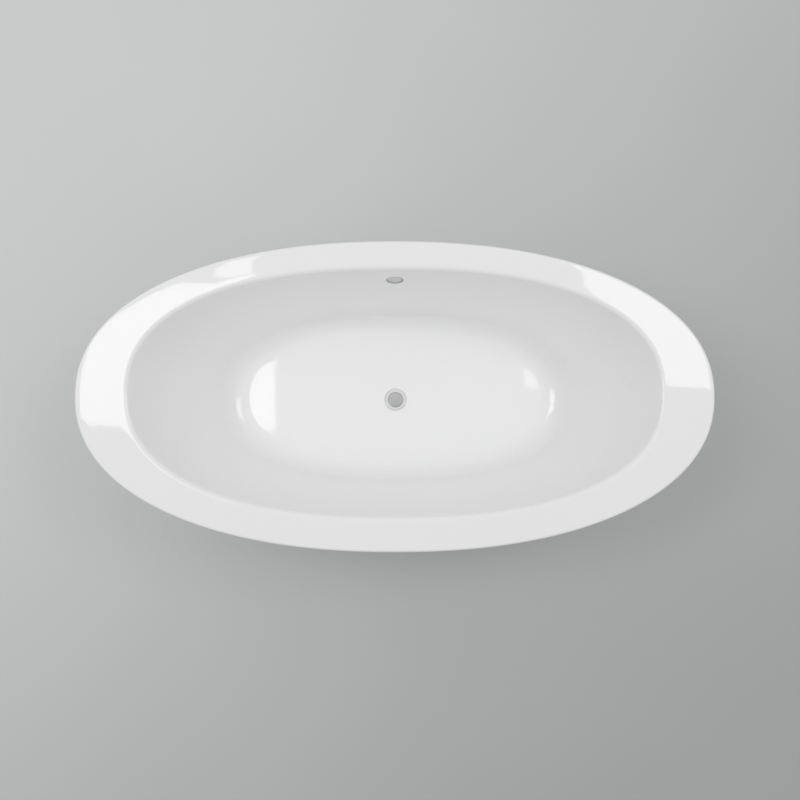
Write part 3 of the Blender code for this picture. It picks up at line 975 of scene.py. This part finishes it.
@dataclass
class Basin:
    """The inner shell: sloping walls, flat deck, turned-down lip and the recess for the waste."""

    shell: float = 0.006
    shift: float = 0.009
    floor_height: float = 0.170
    fall: float = 0.002
    floor_half_length: float = 0.496
    floor_half_width: float = 0.220
    end_fillet: float = 0.100
    side_fillet: float = 0.060
    end_slope: float = math.radians(66.0)
    side_slope: float = math.radians(79.5)
    deck_half_length: float = 0.7624
    deck_half_width: float = 0.3613
    top_fillet: float = 0.015
    edge_fillet: float = 0.008
    lip_drop: float = 0.0345
    well_power: float = 2.35
    outer_power: float = 2.2
    waste_hole: float = 0.026
    recess: float = 0.0376
    recess_flat: float = 0.0360
    recess_height: float = 0.163
    overflow_height: float = 0.515
    overflow_hole: float = 0.0247
    hole_reach: float = 0.02
    count: int = 256

    def __post_init__(self) -> None:
        """Takes the overall size from the CAD basin."""
        low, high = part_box("basin")
        self.half_length, self.half_width, self.height = high.x, high.y, high.z

    def overflow_place(self) -> Matrix:
        """The frame on the back wall, with +Z straight out of the wall and +Y up it.

        Returns:
            The frame as a matrix.
        """
        start = self.height - self.top_fillet + self.top_fillet * math.cos(self.side_slope)
        y = self.deck_half_width - self.top_fillet * math.sin(self.side_slope)
        y += self.shift - (start - self.overflow_height) / math.tan(self.side_slope)
        return Matrix.Translation((0.0, y, self.overflow_height)) @ Matrix.Rotation(self.side_slope, 4, "X")

    def floor(self, offset: float, shares: Iterable[float]) -> list[Section]:
        """Rings of the floor between the recess and the wall.

        Args:
            offset: how far the rings lie under the skin.
            shares: where they lie, from 0 at the recess to 1 at the wall.

        Returns:
            The rings.
        """
        made = []
        for share in shares:
            a = self.recess + (self.floor_half_length - self.recess) * share
            b = self.recess + (self.floor_half_width - self.recess) * share**0.85
            z = self.floor_height - self.fall * (1.0 - share) - offset
            made.append(Section(a, z, b, z, 2.0 + 0.3 * share, self.shift * share))
        return made

    def wall(self, offset: float, low_steps: int, wall_steps: int, top_steps: int) -> list[Section]:
        """Rings from the floor's edge up the wall and over to the deck.

        Args:
            offset: how far the rings lie under the skin.
            low_steps: steps round the floor's fillet.
            wall_steps: rings on the straight of the wall.
            top_steps: steps round the fillet at the deck.

        Returns:
            The rings.
        """
        made = []
        for k in range(low_steps + 1):
            share = k / low_steps
            end, side = self.end_slope * share, self.side_slope * share
            made.append(Section(
                self.floor_half_length + (self.end_fillet + offset) * math.sin(end),
                self.floor_height + self.end_fillet - (self.end_fillet + offset) * math.cos(end),
                self.floor_half_width + (self.side_fillet + offset) * math.sin(side),
                self.floor_height + self.side_fillet - (self.side_fillet + offset) * math.cos(side),
                2.3 + 0.05 * share, self.shift,
            ))
        over = []
        reach = self.top_fillet - offset
        base = self.height - self.top_fillet
        for k in range(top_steps + 1):
            left = 1.0 - k / top_steps
            end, side = self.end_slope * left, self.side_slope * left
            over.append(Section(
                self.deck_half_length - reach * math.sin(end), base + reach * math.cos(end),
                self.deck_half_width - reach * math.sin(side), base + reach * math.cos(side),
                self.well_power, self.shift,
            ))
        low, high = made[-1], over[0]
        made += [low.towards(high, k / (wall_steps + 1)) for k in range(1, wall_steps + 1)]
        return made + over

    def edge(self) -> list[Section]:
        """Rings over the deck, round its outer edge, down the lip and back up behind it.

        Returns:
            The rings.
        """
        def level(inset: float, z: float) -> Section:
            """A level ring, set in from the outer edge."""
            return Section(self.half_length - inset, z, self.half_width - inset, z, self.outer_power, 0.0)

        inner = Section(self.deck_half_length, self.height, self.deck_half_width, self.height,
                        self.well_power, self.shift)
        outer = level(self.edge_fillet, self.height)
        made = [inner.towards(outer, share) for share in (0.2, 0.4, 0.6, 0.8)]
        steps = 8
        for k in range(steps + 1):
            turn = math.pi / 2.0 * k / steps
            z = self.height - self.edge_fillet * (1.0 - math.cos(turn))
            made.append(level(self.edge_fillet * (1.0 - math.sin(turn)), z))
        low = self.height - self.lip_drop
        under = ((0.0, low + 0.012), (0.0, low + 0.002), (0.0006, low + 0.0006), (0.002, low), (0.004, low),
                 (0.0054, low + 0.0006), (self.shell, low + 0.002), (self.shell, self.height - 0.010),
                 (self.shell + 0.003, self.height - self.shell))
        return made + [level(inset, z) for inset, z in under]

    def sections(self) -> list[Section]:
        """Every ring of the shell, from the waste hole out over the deck and back underneath.

        Returns:
            The rings in order.
        """
        top, under = self.recess_height, self.recess_height - self.shell
        centre = self.floor_height - self.fall
        ease, low_steps, high_steps = 0.001, 5, 6
        made = [circle(self.waste_hole, under), circle(self.waste_hole, top - ease),
                circle(self.waste_hole + 0.3 * ease, top - 0.3 * ease), circle(self.waste_hole + ease, top),
                circle(0.0345, top)]
        low, high = self.recess - self.recess_flat, 0.0020
        for k in range(1, low_steps + 1):
            turn = math.pi / 2.0 * k / low_steps
            made.append(circle(self.recess_flat + low * math.sin(turn), top + low * (1.0 - math.cos(turn))))
        for k in range(high_steps + 1):
            turn = math.pi / 2.0 * k / high_steps
            z = centre - high * (1.0 - math.sin(turn))
            made.append(circle(self.recess + high * (1.0 - math.cos(turn)), z))
        made += self.floor(0.0, (0.03, 0.08, 0.16, 0.28, 0.42, 0.58, 0.74, 0.88, 0.96))
        made += self.wall(0.0, 14, 12, 10)
        made += self.edge()
        made += reversed(self.wall(self.shell, 6, 3, 4))
        made += reversed(self.floor(self.shell, (0.08, 0.4, 0.8)))
        made += [circle(0.0460, centre - self.shell), circle(0.0430, under)]
        return made

    def build(self) -> None:
        """Models the shell and cuts the overflow hole, keeping the wall's smooth shading."""
        basin = ring_band("basin_shell", self.sections(), self.count)
        smooth(basin, 50.0)
        whole = copied(basin, "whole_shell", Matrix())
        hole = solid(self.overflow_hole, -self.hole_reach, self.hole_reach)
        combine(basin, turned("overflow_cutter", hole, 64, self.overflow_place()))
        apply(basin, "DATA_TRANSFER", object=whole, use_loop_data=True, data_types_loops={"CUSTOM_NORMAL"},
              loop_mapping="POLYINTERP_NEAREST")
        bpy.data.objects.remove(whole)
        ship(basin, "basin", ACRYLIC, sharp=0.0)


@dataclass
class Skirt:
    """The outer shell, which leans in from the lip to a rounded foot just above the floor."""

    wall: float = 0.005
    top_half_length: float = 0.8920
    top_half_width: float = 0.4300
    top_height: float = 0.565
    foot_half_length: float = 0.640
    foot_half_width: float = 0.285
    foot_height: float = 0.003
    bulge: float = 0.8
    power: float = 2.2
    count: int = 256

    def at(self, height: float, inset: float) -> Section:
        """One ring of the skirt.

        Args:
            height: its height.
            inset: how far it lies inside the skin.

        Returns:
            The ring.
        """
        share = min(max((height - self.foot_height) / (self.top_height - self.foot_height), 0.0), 1.0)
        swell = share**self.bulge
        a = self.foot_half_length + (self.top_half_length - self.foot_half_length) * swell - inset
        b = self.foot_half_width + (self.top_half_width - self.foot_half_width) * swell - inset
        return Section(a, height, b, height, self.power, 0.0)

    def build(self) -> None:
        """Models the skirt's wall with a rolled foot."""
        top = self.top_height + 0.0282
        outer = [0.006, 0.010, 0.018, 0.030, 0.045, 0.065, 0.09, 0.12, 0.15, 0.19, 0.23, 0.27, 0.31, 0.35,
                 0.39, 0.43, 0.47, 0.51, 0.545, 0.560, self.top_height, top]
        inner = [top, self.top_height, 0.46, 0.34, 0.22, 0.12, 0.05, 0.018, 0.0075]
        made = [self.at(0.0045, 0.0003), *(self.at(z, 0.0) for z in outer)]
        made += [self.at(z, self.wall) for z in inner]
        made += [self.at(0.0045, self.wall - 0.0006), self.at(0.0033, self.wall - 0.0018),
                 self.at(self.foot_height, self.wall / 2.0), self.at(0.0033, 0.0014)]
        ship(ring_band("skirt_shell", made, self.count), "outer_skirt", ACRYLIC, sharp=50.0)


@dataclass
class Waste:
    """The waste in the floor: flange and pop-up plug."""

    plug_radius: float = 0.0244
    plug_low: float = 0.1676

    def build(self) -> None:
        """Models the flange and the plug."""
        flange = turned("waste_flange_ring", [
            (0.0200, 0.1240), (0.0244, 0.1240), (0.0244, 0.1644), (0.0328, 0.1644), (0.0332, 0.1648),
            (0.0335, 0.1658), (0.0334, 0.1667), (0.0330, 0.1674), (0.0323, 0.1679), (0.0312, 0.1682),
            (0.0298, 0.1683), (0.0276, 0.1682), (0.0261, 0.1681), (0.0256, 0.1679), (0.0253, 0.1675),
            (0.0252, 0.1668), (0.0252, 0.1661), (0.0249, 0.1660), (0.0202, 0.1660), (0.0200, 0.1658),
        ], 96)
        ship(flange, "waste_flange", WHITE_PLASTIC, sharp=50.0)
        r, z = self.plug_radius, self.plug_low
        cap = turned("plug_disc", [
            (0.0, z), (0.0228, z), (0.0236, z + 0.0001), (0.0241, z + 0.0005), (r, z + 0.0011),
            (r, z + 0.0020), (0.02435, z + 0.0024), (0.0241, z + 0.0027), (0.0237, z + 0.0029),
            (0.0229, z + 0.0030), (0.0215, z + 0.0031), (0.0180, z + 0.0033), (0.0120, z + 0.0034),
            (0.0060, z + 0.0035), (0.0, z + 0.0035),
        ], 96)
        finish = TurnedMetal("satin_plug", "satin_metal", (0.480, 0.492, 0.497), (0.45, 0.461, 0.466), 0.45,
                             spread=0.06, drift=30.0, relief=150.0, grain=0.1, depth=0.00002, metallic=1.0)
        ship(cap, "plug_cap", finish, Body.PLUG, sharp=50.0)


@dataclass
class Overflow:
    """The overflow on the back wall: a satin disc sunk in a cup, with a gap all round it for the water."""

    place: Matrix
    disc: float = 0.0214
    lining: float = 0.0232
    legs: int = 3

    def build(self) -> None:
        """Models the disc and the cup."""
        r = self.disc
        disc = turned("overflow_disc", [
            (0.0, -0.0030), (r - 0.0002, -0.0030), (r, -0.0028), (r, -0.0018), (r - 0.0001, -0.0015),
            (r - 0.0003, -0.0013), (r - 0.0006, -0.0012), (0.0180, -0.0011), (0.0090, -0.0010),
            (0.0, -0.0010),
        ], 96)
        for k in range(self.legs):
            turn = 2.0 * math.pi * (k + 0.25) / self.legs
            at = Matrix.Translation((0.0140 * math.cos(turn), 0.0140 * math.sin(turn), 0.0))
            leg = turned("leg", [
                (0.0, -0.0120), (0.0010, -0.0120), (0.0016, -0.0112), (0.0016, -0.0020), (0.0, -0.0020),
            ], 20, at)
            combine(disc, leg, "UNION")
        disc.data.transform(self.place)
        finish = TurnedMetal("satin_disc", "satin_metal", (0.63, 0.64, 0.645), (0.59, 0.60, 0.605), 0.34,
                             spread=0.06, drift=30.0, relief=150.0, grain=0.1, depth=0.00002, metallic=1.0,
                             centre=tuple(self.place.to_translation()), tilt=self.place.to_euler().x)
        ship(disc, "overflow_cover", finish, sharp=45.0)
        lining = self.lining
        cup = turned("overflow_cup", [
            (0.0160, -0.0176), (0.0164, -0.0180), (0.0190, -0.0180), (0.0194, -0.0176), (0.0194, -0.0060),
            (0.0240, -0.0060), (0.0243, -0.0057), (0.0243, 0.0001), (0.0254, 0.0001), (0.0256, 0.0003),
            (0.0255, 0.0006), (0.0252, 0.0008), (lining + 0.0006, 0.0008), (lining + 0.0002, 0.0006),
            (lining, 0.0002), (lining, -0.0041), (lining - 0.0004, -0.0045), (0.0165, -0.0045),
            (0.0160, -0.0050),
        ], 96, self.place)
        # The cup's grey is partly painted shade: it darkens the crescent seen past the disc's lower edge,
        # where the gap lies in shade.
        ship(cup, "overflow_insert", PALE_PLASTIC, sharp=45.0)


@dataclass
class LevellingFrame:
    """The board under the floor, the steel tubes below it, and the ring and straps at the skirt's foot."""

    tube_wall: float = 0.002
    tube_radius: float = 0.0035
    hole: float = 0.0072
    foot_y: float = 0.155
    strap_width: float = 0.025
    strap_bend: float = 0.004
    opening: float = 0.060
    screw_hole: float = 0.0028
    count: int = 128

    def rail(self, name: str, holes: Sequence[float] = ()) -> None:
        """Models one steel tube where its CAD node lies.

        Args:
            name: the CAD node.
            holes: how far along Y its foot holes lie.
        """
        low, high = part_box(name)
        size, middle = high - low, (high + low) / 2.0
        rail = bar(name.replace("rail", "tube"), size, middle, self.tube_radius)
        inside = Vector(k - 2.0 * self.tube_wall if k < 0.1 else k + 0.01 for k in size)
        combine(rail, bar("bore", inside, middle, self.tube_radius - self.tube_wall))
        for y in holes:
            at = Matrix.Translation((middle.x, y, middle.z))
            combine(rail, turned("hole", solid(self.hole, -0.05, 0.05), 32, at))
        ship(rail, name, GALVANISED, sharp=35.0)

    def board(self) -> None:
        """Models the board, with eased edges and its round opening."""
        low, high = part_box("base_board")
        a, b, shift, ease = high.x, (high.y - low.y) / 2.0, (high.y + low.y) / 2.0, 0.001
        rings = [Section(a - inset, z, b - inset, z, 2.3, shift) for inset, z in (
            (ease, low.z), (0.3 * ease, low.z + 0.3 * ease), (0.0, low.z + ease), (0.0, high.z - ease),
            (0.3 * ease, high.z - 0.3 * ease), (ease, high.z),
        )]
        r = self.opening
        rings += [circle(r + ease, high.z), circle(r, high.z - ease), circle(r, low.z + ease),
                  circle(r + ease, low.z)]
        ship(ring_band("floor_board", rings, self.count), "base_board", PLYWOOD)

    def foot_ring(self) -> None:
        """Models the plywood ring inside the skirt's foot, drilled for the screws."""
        low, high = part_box("skirt_base_ring")
        wide, ease = 0.038, 0.001
        outline = [(ease, low.z), (0.0, low.z + ease), (0.0, high.z - ease), (ease, high.z),
                   (wide - ease, high.z), (wide, high.z - ease), (wide, low.z + ease), (wide - ease, low.z)]
        rings = [Section(high.x - inset, z, high.y - inset, z, 2.2, 0.0) for inset, z in outline]
        ring = ring_band("skirt_foot_ring", rings, self.count)
        for corner in Corner:
            at = Matrix.Translation(foot_of("bracket_screw_" + corner.tag))
            combine(ring, turned("hole", solid(self.screw_hole, 0.010, 0.030), 20, at))
        ship(ring, "skirt_base_ring", PLYWOOD)

    def straps(self) -> None:
        """Models one bent strap and one screw, and copies them to the corners."""
        low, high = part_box("skirt_bracket_br")
        thick, bend, half = 0.003, self.strap_bend, self.strap_width / 2.0
        y, z = low.y + thick / 2.0, low.z + thick / 2.0
        path = [(y, high.z), (y, z + bend + 0.030), (y, z + bend)]
        path += [(y + bend * (1.0 - math.cos(math.radians(t))), z + bend * (1.0 - math.sin(math.radians(t))))
                 for t in (22.5, 45.0, 67.5, 90.0)]
        path.append((high.y, z))
        clear_selection()
        bpy.ops.mesh.primitive_plane_add(size=1.0)
        strap = named("strap_pattern")
        for vertex in strap.data.vertices:
            side, row = math.copysign(half, vertex.co.x), 0 if vertex.co.y > 0.0 else 1
            vertex.co = (side, *path[row])
        bpy.ops.object.mode_set(mode="EDIT")
        bpy.ops.mesh.select_mode(type="VERT")
        for before, after in zip(path[1:], path[2:]):
            bpy.ops.mesh.select_all(action="DESELECT")
            mesh = bmesh.from_edit_mesh(strap.data)
            for vertex in mesh.verts:
                vertex.select_set((vertex.co.yz - Vector(before)).length < 1e-6)
            mesh.select_flush_mode()
            bmesh.update_edit_mesh(strap.data)
            bpy.ops.mesh.extrude_edges_move(
                TRANSFORM_OT_translate={"value": (0.0, after[0] - before[0], after[1] - before[1])}
            )
        bpy.ops.object.mode_set(mode="OBJECT")
        apply(strap, "SOLIDIFY", thickness=thick, offset=0.0, use_even_offset=True)
        close(strap)
        spot = foot_of("bracket_screw_br")
        hole = turned("hole", solid(0.0029, 0.015, 0.035), 24, Matrix.Translation((0.0, spot.y, 0.0)))
        combine(strap, hole)
        soften(strap, 0.0005, 2, 50.0)
        screw = turned("screw_pattern", [
            (0.0, 0.0120), (0.0012, 0.0131), (0.0024, 0.0145), (0.0024, 0.0278), (0.0046, 0.0278),
            (0.0048, 0.0280), (0.0048, 0.0289), (0.0045, 0.0296), (0.0037, 0.0303), (0.0025, 0.0307),
            (0.0, 0.0308),
        ], 32)
        for size in (Vector((0.0050, 0.0010, 0.0030)), Vector((0.0010, 0.0050, 0.0030))):
            combine(screw, bar("slot", size, Vector((0.0, 0.0, 0.0308))))
        for corner in Corner:
            _, along, side = corner.value
            spot = foot_of("bracket_screw_" + corner.tag)
            turn = Matrix.Rotation(0.0 if side > 0 else math.pi, 4, "Z")
            place = Matrix.Translation((spot.x, 0.0, 0.0)) @ turn
            bent = copied(strap, "strap_" + corner.tag, place)
            ship(bent, "skirt_bracket_" + corner.tag, GALVANISED)
            driven = copied(screw, "strap_screw_" + corner.tag, Matrix.Translation(spot))
            ship(driven, "bracket_screw_" + corner.tag, ZINC, sharp=35.0)
        for pattern in (strap, screw):
            bpy.data.objects.remove(pattern)

    def build(self) -> None:
        """Models the frame."""
        self.board()
        self.foot_ring()
        for side in ("front", "back"):
            self.rail("long_rail_" + side)
        for end in ("left", "right"):
            self.rail("cross_rail_" + end, (-self.foot_y, self.foot_y))
        self.straps()


@dataclass
class Feet:
    """The four levelling feet: rubber pad, M12 rod with a spanner hexagon, lock nut and weld nut."""

    rod_radius: float = 0.006
    pitch: float = 0.00175
    nut_across: float = 0.0095
    nut_bore: float = 0.0064

    def pad(self) -> bpy.types.Object:
        """Models a pad with two grooves in its sole, standing at the origin."""
        return turned("pad_pattern", [
            (0.0, 0.0), (0.0080, 0.0), (0.0083, 0.0006), (0.0092, 0.0006), (0.0095, 0.0), (0.0128, 0.0),
            (0.0131, 0.0006), (0.0140, 0.0006), (0.0143, 0.0), (0.0175, 0.0), (0.0188, 0.0003),
            (0.0196, 0.0009), (0.0200, 0.0018), (0.0200, 0.0030), (0.0198, 0.0042), (0.0192, 0.0051),
            (0.0180, 0.0058), (0.0135, 0.0074), (0.0122, 0.0083), (0.0113, 0.0098), (0.0110, 0.0115),
            (0.0110, 0.0150), (0.0108, 0.0156), (0.0102, 0.0160), (0.0072, 0.0160), (0.0067, 0.0157),
            (0.0066, 0.0152), (0.0066, 0.0045), (0.0, 0.0045),
        ], 64)

    def rod(self) -> bpy.types.Object:
        """Models a threaded rod with its hexagon, standing at the origin."""
        low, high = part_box("foot_rod_fl")
        rod = threaded("rod_pattern", self.rod_radius, self.pitch, low.z, high.z)
        combine(rod, hexagon("spanner_hexagon", self.nut_across, 0.0200, 0.0290), "UNION")
        return rod

    def nut(self, kind: str) -> bpy.types.Object:
        """Models a lock nut or a weld nut about the Z axis.

        Args:
            kind: lock or weld.

        Returns:
            The nut.
        """
        low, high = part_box("foot_%s_nut_fl" % kind)
        bore = [
            (0.0, low.z - 0.001), (self.nut_bore + 0.0014, low.z - 0.001), (self.nut_bore, low.z + 0.0004),
            (self.nut_bore, high.z - 0.0004), (self.nut_bore + 0.0014, high.z + 0.001),
            (0.0, high.z + 0.001),
        ]
        return hexagon(kind + "_nut_pattern", self.nut_across, low.z, high.z, bore)

    def build(self) -> None:
        """Models one of each piece and copies it to the corners."""
        plan = (
            (self.pad(), "foot_sole_", "foot_pad_", RUBBER, "foot", 40.0),
            (self.rod(), "foot_thread_", "foot_rod_", ZINC, "rod", 35.0),
            (self.nut("lock"), "lock_nut_", "foot_lock_nut_", ZINC, "", 30.0),
            (self.nut("weld"), "weld_nut_", "foot_weld_nut_", ZINC, "", 30.0),
        )
        for pattern, stem, node, finish, body, sharp in plan:
            for corner in Corner:
                place = Matrix.Translation(foot_of("foot_pad_" + corner.tag))
                piece = copied(pattern, stem + corner.tag, place)
                ship(piece, node + corner.tag, finish, corner.body(body) if body else Body.TUB, sharp)
            bpy.data.objects.remove(pattern)


@dataclass
class WastePlumbing:
    """What hangs under the waste: seals, nuts, the guide for the stem, the tee and the tailpiece."""

    branch_height: float = 0.100
    branch_end: float = 0.052

    def build(self) -> None:
        """Models the pieces about the waste's axis."""
        tub, plug = Body.TUB, Body.PLUG
        for name, node, outline, finish, body in (
            ("flange_washer", "flange_seal", rounded(0.0262, 0.0330, 0.1632, 0.1642, 0.0004), RUBBER, tub),
            ("under_washer", "lower_gasket", rounded(0.0250, 0.0330, 0.1538, 0.1568, 0.0009), RUBBER, tub),
            ("plug_washer", "plug_seal", rounded(0.0195, 0.0238, 0.1662, 0.1674, 0.0005), RUBBER, plug),
            ("tail_pipe", "tailpiece", rounded(0.0182, 0.0200, 0.0120, 0.0870, 0.0004), GREY_PLASTIC, tub),
            ("plug_spindle", "plug_stem", [
                (0.0, 0.1180), (0.0022, 0.1180), (0.0031, 0.1184), (0.0037, 0.1195), (0.0037, 0.1320),
                (0.0033, 0.1324), (0.0033, 0.1336), (0.0037, 0.1340), (0.0037, 0.1632), (0.0042, 0.1640),
                (0.0052, 0.1645), (0.0176, 0.1650), (0.0180, 0.1653), (0.0180, 0.1674), (0.0, 0.1674),
            ], ZINC, plug),
        ):
            ship(turned(name, outline, 64), node, finish, body)
        self.nuts()
        self.guide()
        self.tee()

    def nuts(self) -> None:
        """Models the nut under the floor and the nut of the outlet."""
        back = hexagon("waste_nut", 0.0330, 0.1446, 0.1536, solid(0.0250, 0.14, 0.16))
        outlet = hexagon("tail_nut", 0.0300, 0.0620, 0.0785, [
            (0.0, 0.0600), (0.0205, 0.0600), (0.0205, 0.0694), (0.0250, 0.0694), (0.0250, 0.0800),
            (0.0, 0.0800),
        ])
        for nut, node in ((back, "back_nut"), (outlet, "outlet_nut")):
            ship(nut, node, GREY_PLASTIC, sharp=30.0)

    def guide(self) -> None:
        """Models the four-armed guide that the stem slides in."""
        guide = turned("stem_guide", rounded(0.0168, 0.0194, 0.1360, 0.1420, 0.0004), 64)
        for size in (Vector((0.0360, 0.0030, 0.0040)), Vector((0.0030, 0.0360, 0.0040))):
            combine(guide, bar("arm", size, Vector((0.0, 0.0, 0.1390)), 0.0007), "UNION")
        combine(guide, turned("hub", solid(0.0080, 0.1355, 0.1425), 48), "UNION")
        combine(guide, turned("hole", solid(0.0042, 0.1300, 0.1500), 32))
        soften(guide, 0.0003, 1, 60.0)
        ship(guide, "waste_spider", WHITE_PLASTIC)

    def tee(self) -> None:
        """Models the tee with its collar, ribs and side branch."""
        tee = turned("waste_tee", [
            (0.0, 0.0700), (0.0240, 0.0700), (0.0245, 0.0705), (0.0245, 0.0798), (0.0252, 0.0812),
            (0.0282, 0.0842), (0.0290, 0.0858), (0.0290, 0.1330), (0.0296, 0.1336), (0.0296, 0.1424),
            (0.0290, 0.1430), (0.0, 0.1430),
        ], 80)
        across = Matrix.Translation((0.0, 0.0, self.branch_height)) @ ON_Y
        branch = turned("branch", [
            (0.0, 0.0100), (0.0165, 0.0100), (0.0165, self.branch_end - 0.0004), (0.0161, self.branch_end),
            (0.0, self.branch_end),
        ], 64, across)
        combine(tee, branch, "UNION")
        bore = turned("bore", [
            (0.0, 0.0650), (0.0207, 0.0650), (0.0207, 0.0885), (0.0225, 0.0900), (0.0225, 0.1200),
            (0.0250, 0.1200), (0.0250, 0.1500), (0.0, 0.1500),
        ], 80)
        combine(tee, bore)
        combine(tee, turned("side_bore", solid(0.0131, 0.0050, 0.0600), 64, across))
        ship(tee, "waste_body", GREY_PLASTIC, sharp=35.0)


@dataclass
class OverflowPlumbing:
    """The overflow's gasket and body behind the wall, and the pipe with its two nuts."""

    place: Matrix
    back: float = 0.029
    pipe: float = 0.0125
    pipe_bore: float = 0.0108
    nut_across: float = 0.0175
    nut_long: float = 0.0130
    count: int = 40
    route: tuple[tuple[float, float], ...] = (
        (0.042, 0.100), (0.105, 0.100), (0.170, 0.101), (0.235, 0.108), (0.268, 0.120), (0.292, 0.143),
        (0.307, 0.178), (0.3165, 0.220), (0.3224, 0.250),
    )

    def build(self) -> None:
        """Models the pieces from the wall down to the tee."""
        gasket = turned("wall_washer", rounded(0.0253, 0.0310, -0.0091, -0.0065, 0.0009), 64, self.place)
        ship(gasket, "overflow_gasket", RUBBER)
        middle = self.place @ Vector((0.0, 0.0, -self.back))
        down = (self.place.to_3x3() @ Vector((0.0, -1.0, 0.0))).normalized()
        along = Matrix.Translation(middle) @ down.to_track_quat("Z", "X").to_matrix().to_4x4()
        self.body(along)
        self.run(middle + down * 0.044)
        nut = hexagon("pipe_nut_pattern", self.nut_across, 0.0, self.nut_long, solid(0.0129, -0.001, 0.014))
        spigot_end = along @ Matrix.Translation((0.0, 0.0, 0.0525))
        branch_end = Matrix.Translation((0.0, 0.0525, 0.100)) @ ON_Y
        for name, node, place in (("spigot_nut", "overflow_pipe_nut", spigot_end),
                                  ("tee_nut", "branch_nut", branch_end)):
            ship(copied(nut, name, place), node, GREY_PLASTIC, sharp=30.0)
        bpy.data.objects.remove(nut)

    def body(self, along: Matrix) -> None:
        """Models the elbow behind the wall.

        Args:
            along: the spigot's frame, with +Z down the spigot.
        """
        elbow = turned("overflow_elbow", [
            (0.0, -0.0460), (0.0255, -0.0460), (0.0266, -0.0456), (0.0270, -0.0445), (0.0270, -0.0128),
            (0.0311, -0.0128), (0.0315, -0.0124), (0.0315, -0.0097), (0.0311, -0.0093), (0.0, -0.0093),
        ], 80, self.place)
        spigot = turned("spigot", [
            (0.0, 0.0050), (0.0153, 0.0050), (0.0153, 0.0516), (0.0149, 0.0520), (0.0, 0.0520),
        ], 60, along)
        combine(elbow, spigot, "UNION")
        combine(elbow, turned("bore", solid(0.0201, -0.0425, 0.0020), 64, self.place))
        combine(elbow, turned("side_bore", solid(0.0131, 0.0020, 0.0600), 60, along))
        ship(elbow, "overflow_body", GREY_PLASTIC, sharp=35.0)

    def run(self, end: Vector) -> None:
        """Models the bent pipe from the tee up to the spigot.

        Args:
            end: the middle of its upper end.
        """
        path = smooth_path([Vector((0.0, y, z)) for y, z in self.route] + [end], 6)
        rings = []
        for radius, order in ((self.pipe, range(len(path))), (self.pipe_bore, reversed(range(len(path))))):
            for k in order:
                way = path[min(k + 1, len(path) - 1)] - path[max(k - 1, 0)]
                rings.append(Hoop(path[k], way.cross(Vector((1.0, 0.0, 0.0))).normalized(), radius))
        ship(ring_band("overflow_hose", rings, self.count), "overflow_pipe", WHITE_PLASTIC, sharp=45.0)


@dataclass
class Softbox:
    """One rectangular studio light, level and facing down."""

    name: str
    low: Vector
    high: Vector
    height: float
    radiance: float

    def build(self) -> None:
        """Adds the light."""
        middle, size = (self.low + self.high) / 2.0, self.high - self.low
        clear_selection()
        bpy.ops.object.light_add(type="AREA", location=(middle.x, middle.y, self.height))
        light = bpy.context.active_object
        light.name = light.data.name = self.name
        light.data.shape = "RECTANGLE"
        light.data.size, light.data.size_y = size.x, size.y
        light.data.energy = 4.0 * self.radiance * size.x * size.y


@dataclass
class Studio:
    """A pale floor with painted light and shade across it, soft light that is strongest overhead, and the
    camera above the tub.
    """

    floor_size: float = 16.0
    floor_drop: float = 0.0003
    horizon_level: float = 0.43
    horizon_way: float = 0.3
    zenith_level: float = 0.715
    brightest_way: tuple[float, float, float] = (0.0, 0.16, 0.987)
    light_height: float = 4.1
    camera_place: Vector = Vector((0.015, -0.0618, 2.6))
    camera_tilt: float = math.radians(1.434)
    lens: float = 32.1
    sensor: float = 36.0
    nearest: float = 0.05
    farthest: float = 60.0

    def build(self) -> None:
        """Adds the floor, the lights, the world and the camera."""
        clear_selection()
        bpy.ops.mesh.primitive_plane_add(size=self.floor_size)
        floor = named("studio_floor_plane")
        floor.data.transform(Matrix.Translation((0.0, 0.0, -self.floor_drop)))
        floor.data.materials.append(STUDIO_FLOOR.made())
        for name, low_x, high_x, low_y, high_y, radiance in (
            ("softbox_left", -2.75, -1.065, -0.13, 0.985, 3.1),
            ("softbox_left_small", -1.42, -1.13, 1.03, 1.45, 2.6),
            ("softbox_right", 1.43, 2.75, 0.18, 1.50, 2.8),
            ("softbox_right_small", 1.09, 1.40, 0.19, 0.60, 2.6),
        ):
            low, high = Vector((low_x, low_y)), Vector((high_x, high_y))
            Softbox(name, low, high, self.light_height, radiance).build()
        world = bpy.data.worlds.new("studio_world")
        world.use_nodes = True
        tree = Tree(world.node_tree)
        way = tree.vector("DOT_PRODUCT", tree.node("TexCoord").outputs["Generated"], self.brightest_way)
        level = tree.spread(way, self.horizon_way, 1.0, self.horizon_level, self.zenith_level)
        back = world.node_tree.nodes["Background"]
        back.inputs["Color"].default_value = (1.0, 1.0, 1.0, 1.0)
        tree.link(level, back.inputs["Strength"])
        bpy.context.scene.world = world
        clear_selection()
        bpy.ops.object.camera_add(location=self.camera_place, rotation=(self.camera_tilt, 0.0, 0.0))
        camera = bpy.context.active_object
        camera.name = "studio_camera"
        camera.data.sensor_width, camera.data.lens = self.sensor, self.lens
        camera.data.clip_start, camera.data.clip_end = self.nearest, self.farthest
        bpy.context.scene.camera = camera
        bpy.context.scene.view_settings.view_transform = "Standard"
        bpy.context.scene.view_settings.look = "None"


def main() -> None:
    """Builds every sub-assembly in order."""
    logging.basicConfig(level=logging.INFO, format="%(name)s: %(message)s")
    basin = Basin()
    basin.build()
    Skirt().build()
    Waste().build()
    Overflow(basin.overflow_place()).build()
    LevellingFrame().build()
    Feet().build()
    WastePlumbing().build()
    OverflowPlumbing(basin.overflow_place()).build()
    Studio().build()


if __name__ == "__main__":
    main()
